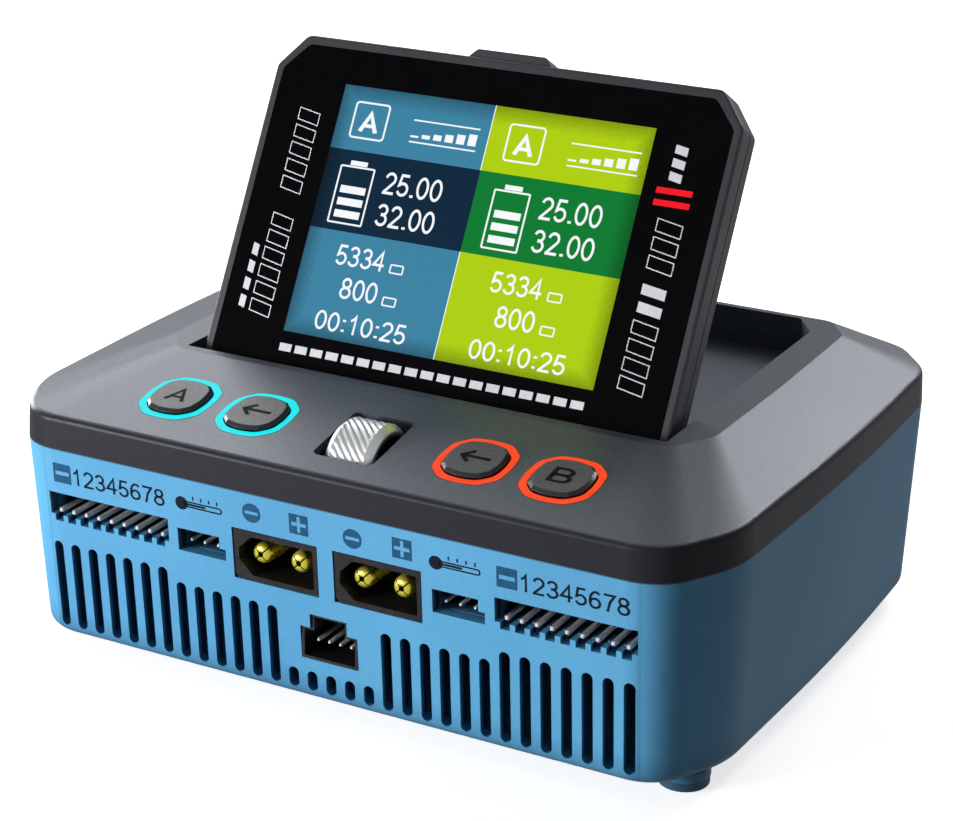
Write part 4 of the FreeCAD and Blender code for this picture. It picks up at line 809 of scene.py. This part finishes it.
# Painted shade: the sunk pockets of the symbols are filled with a darker blue.
printed("front_pockets", pockets, FRONT, 0.02, "pocket_shade", "case")
printed("front_figures", strokes, FRONT, 0.02, "ink_navy", "case")


# ---------------------------------------------------------------- the fluted wheel

def wheel():
    """A ring with rounded slanting flutes between two smooth chamfered rims."""
    outer, inner, half, flat = 7.4, 5.72, 4.2, 3.05
    flutes, around, depth, twist = 34, 544, 0.36, -1.05 / 7.4
    rings = []
    steps = 22
    for k in range(steps + 1):
        x = -flat + 2 * flat * k / steps
        fade = min(1.0, (flat - abs(x)) / 0.35)
        rings.append((x, outer, depth * fade))
    rim = [(half, inner, 0), (half, 6.35, 0), (half - 0.12, 6.55, 0), (flat + 0.1, outer - 0.04, 0)]
    profile = [(-x, radius, cut) for x, radius, cut in rim] + rings + rim[::-1]
    points, faces = [], []
    for x, radius, cut in profile:
        for i in range(around):
            turn = 2 * math.pi * i / around
            wave = abs(math.sin(flutes * (turn + x * twist) / 2)) ** 0.7
            r = radius - cut * (1 - wave)
            points.append((x * MM, r * math.cos(turn) * MM, r * math.sin(turn) * MM))
    count = len(profile)
    for k in range(count):
        for i in range(around):
            a, b = k * around + i, k * around + (i + 1) % around
            c, d = ((k + 1) % count) * around + (i + 1) % around, ((k + 1) % count) * around + i
            faces.append([a, b, c, d])
    place = Matrix.Translation(Vector(ROLLER_CENTRE) * MM)
    made = piece("fluted_wheel", points, faces, place, "chrome", "roller")
    for face in made.data.polygons:
        face.use_smooth = True
    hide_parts("roller_rim")


wheel()


# ---------------------------------------------------------------- stage

def area_light(name, place, aim, wide, tall, power):
    lamp = bpy.data.lights.new(name, "AREA")
    lamp.shape = "RECTANGLE"
    lamp.size, lamp.size_y = wide, tall
    lamp.energy = power
    made = bpy.data.objects.new(name, lamp)
    made.location = place
    made.rotation_euler = (Vector(aim) - Vector(place)).to_track_quat("-Z", "Y").to_euler()
    scene.collection.objects.link(made)


CENTRE = (0.0, 0.0, 0.04)
area_light("key_left", (-0.44, -0.52, 0.10), CENTRE, 0.30, 0.22, 6.2)
area_light("back_left", (-0.42, 0.36, 0.42), (-0.05, -0.03, 0.04), 0.30, 0.30, 1.6)
area_light("rim_left", (-0.60, 0.20, 0.13), CENTRE, 0.25, 0.25, 2.4)
area_light("back_soft", (0.12, 0.58, 0.43), CENTRE, 0.26, 0.22, 1.9)
world = bpy.data.worlds.new("studio")
world.use_nodes = True
sky = world.node_tree.nodes
backdrop = sky["Background"]
backdrop.inputs["Color"].default_value = (0.97, 0.98, 1.0, 1.0)
wires = world.node_tree.links
heading = sky.new("ShaderNodeSeparateXYZ")
wires.new(sky.new("ShaderNodeTexCoord").outputs["Generated"], heading.inputs[0])


def by_heading(left, right):
    """A strength that changes evenly from the left of the sky to its right."""
    ramp = sky.new("ShaderNodeMapRange")
    ramp.inputs["From Min"].default_value = -1.0
    ramp.inputs["To Min"].default_value = left
    ramp.inputs["To Max"].default_value = right
    wires.new(heading.outputs["X"], ramp.inputs["Value"])
    return ramp.outputs["Result"]


choose = sky.new("ShaderNodeMix")
wires.new(sky.new("ShaderNodeLightPath").outputs["Is Glossy Ray"], choose.inputs[0])
wires.new(by_heading(0.24, 0.032), choose.inputs[2])
wires.new(by_heading(0.2, 0.66), choose.inputs[3])
wires.new(choose.outputs[0], backdrop.inputs["Strength"])
scene.world = world
scene.view_settings.view_transform = "Standard"

floor_graph = finish("floor_paper", colour(236, 236, 238), colour(244, 244, 246), (0.7, 0.85),
                     grain=80.0, depth=0.0001, strength=0.05, patch=4.0)
floor_mesh = bpy.data.meshes.new("floor")
reach = 6.0
floor_mesh.from_pydata([(x * reach, y * reach, 0)
                        for x, y in ((-1, -1), (1, -1), (1, 1), (-1, 1))], [], [[0, 1, 2, 3]])
floor_graph.set(Emission_Color=(1.0, 1.0, 1.0, 1.0), Emission_Strength=0.72)
floor_mesh.materials.append(floor_graph.material)
floor = bpy.data.objects.new("floor", floor_mesh)
floor.visible_diffuse = False
floor.visible_glossy = False
scene.collection.objects.link(floor)

camera = bpy.data.cameras.new("camera")
camera.lens = 94.62
camera.sensor_width = 36.0
viewer = bpy.data.objects.new("camera", camera)
scene.collection.objects.link(viewer)
stand = Vector((184.91, -351.45, 186.60)) * MM
aim = Vector((19.94, -40.0, 53.47)) * MM
roll = math.radians(0.898)
ahead = (aim - stand).normalized()
level = ahead.cross(Vector((0, 0, 1))).normalized()
above = level.cross(ahead)
right = level * math.cos(roll) + above * math.sin(roll)
upward = above * math.cos(roll) - level * math.sin(roll)
turn = Matrix((right, upward, -ahead)).transposed()
viewer.matrix_world = Matrix.Translation(stand) @ turn.to_4x4()
scene.camera = viewer
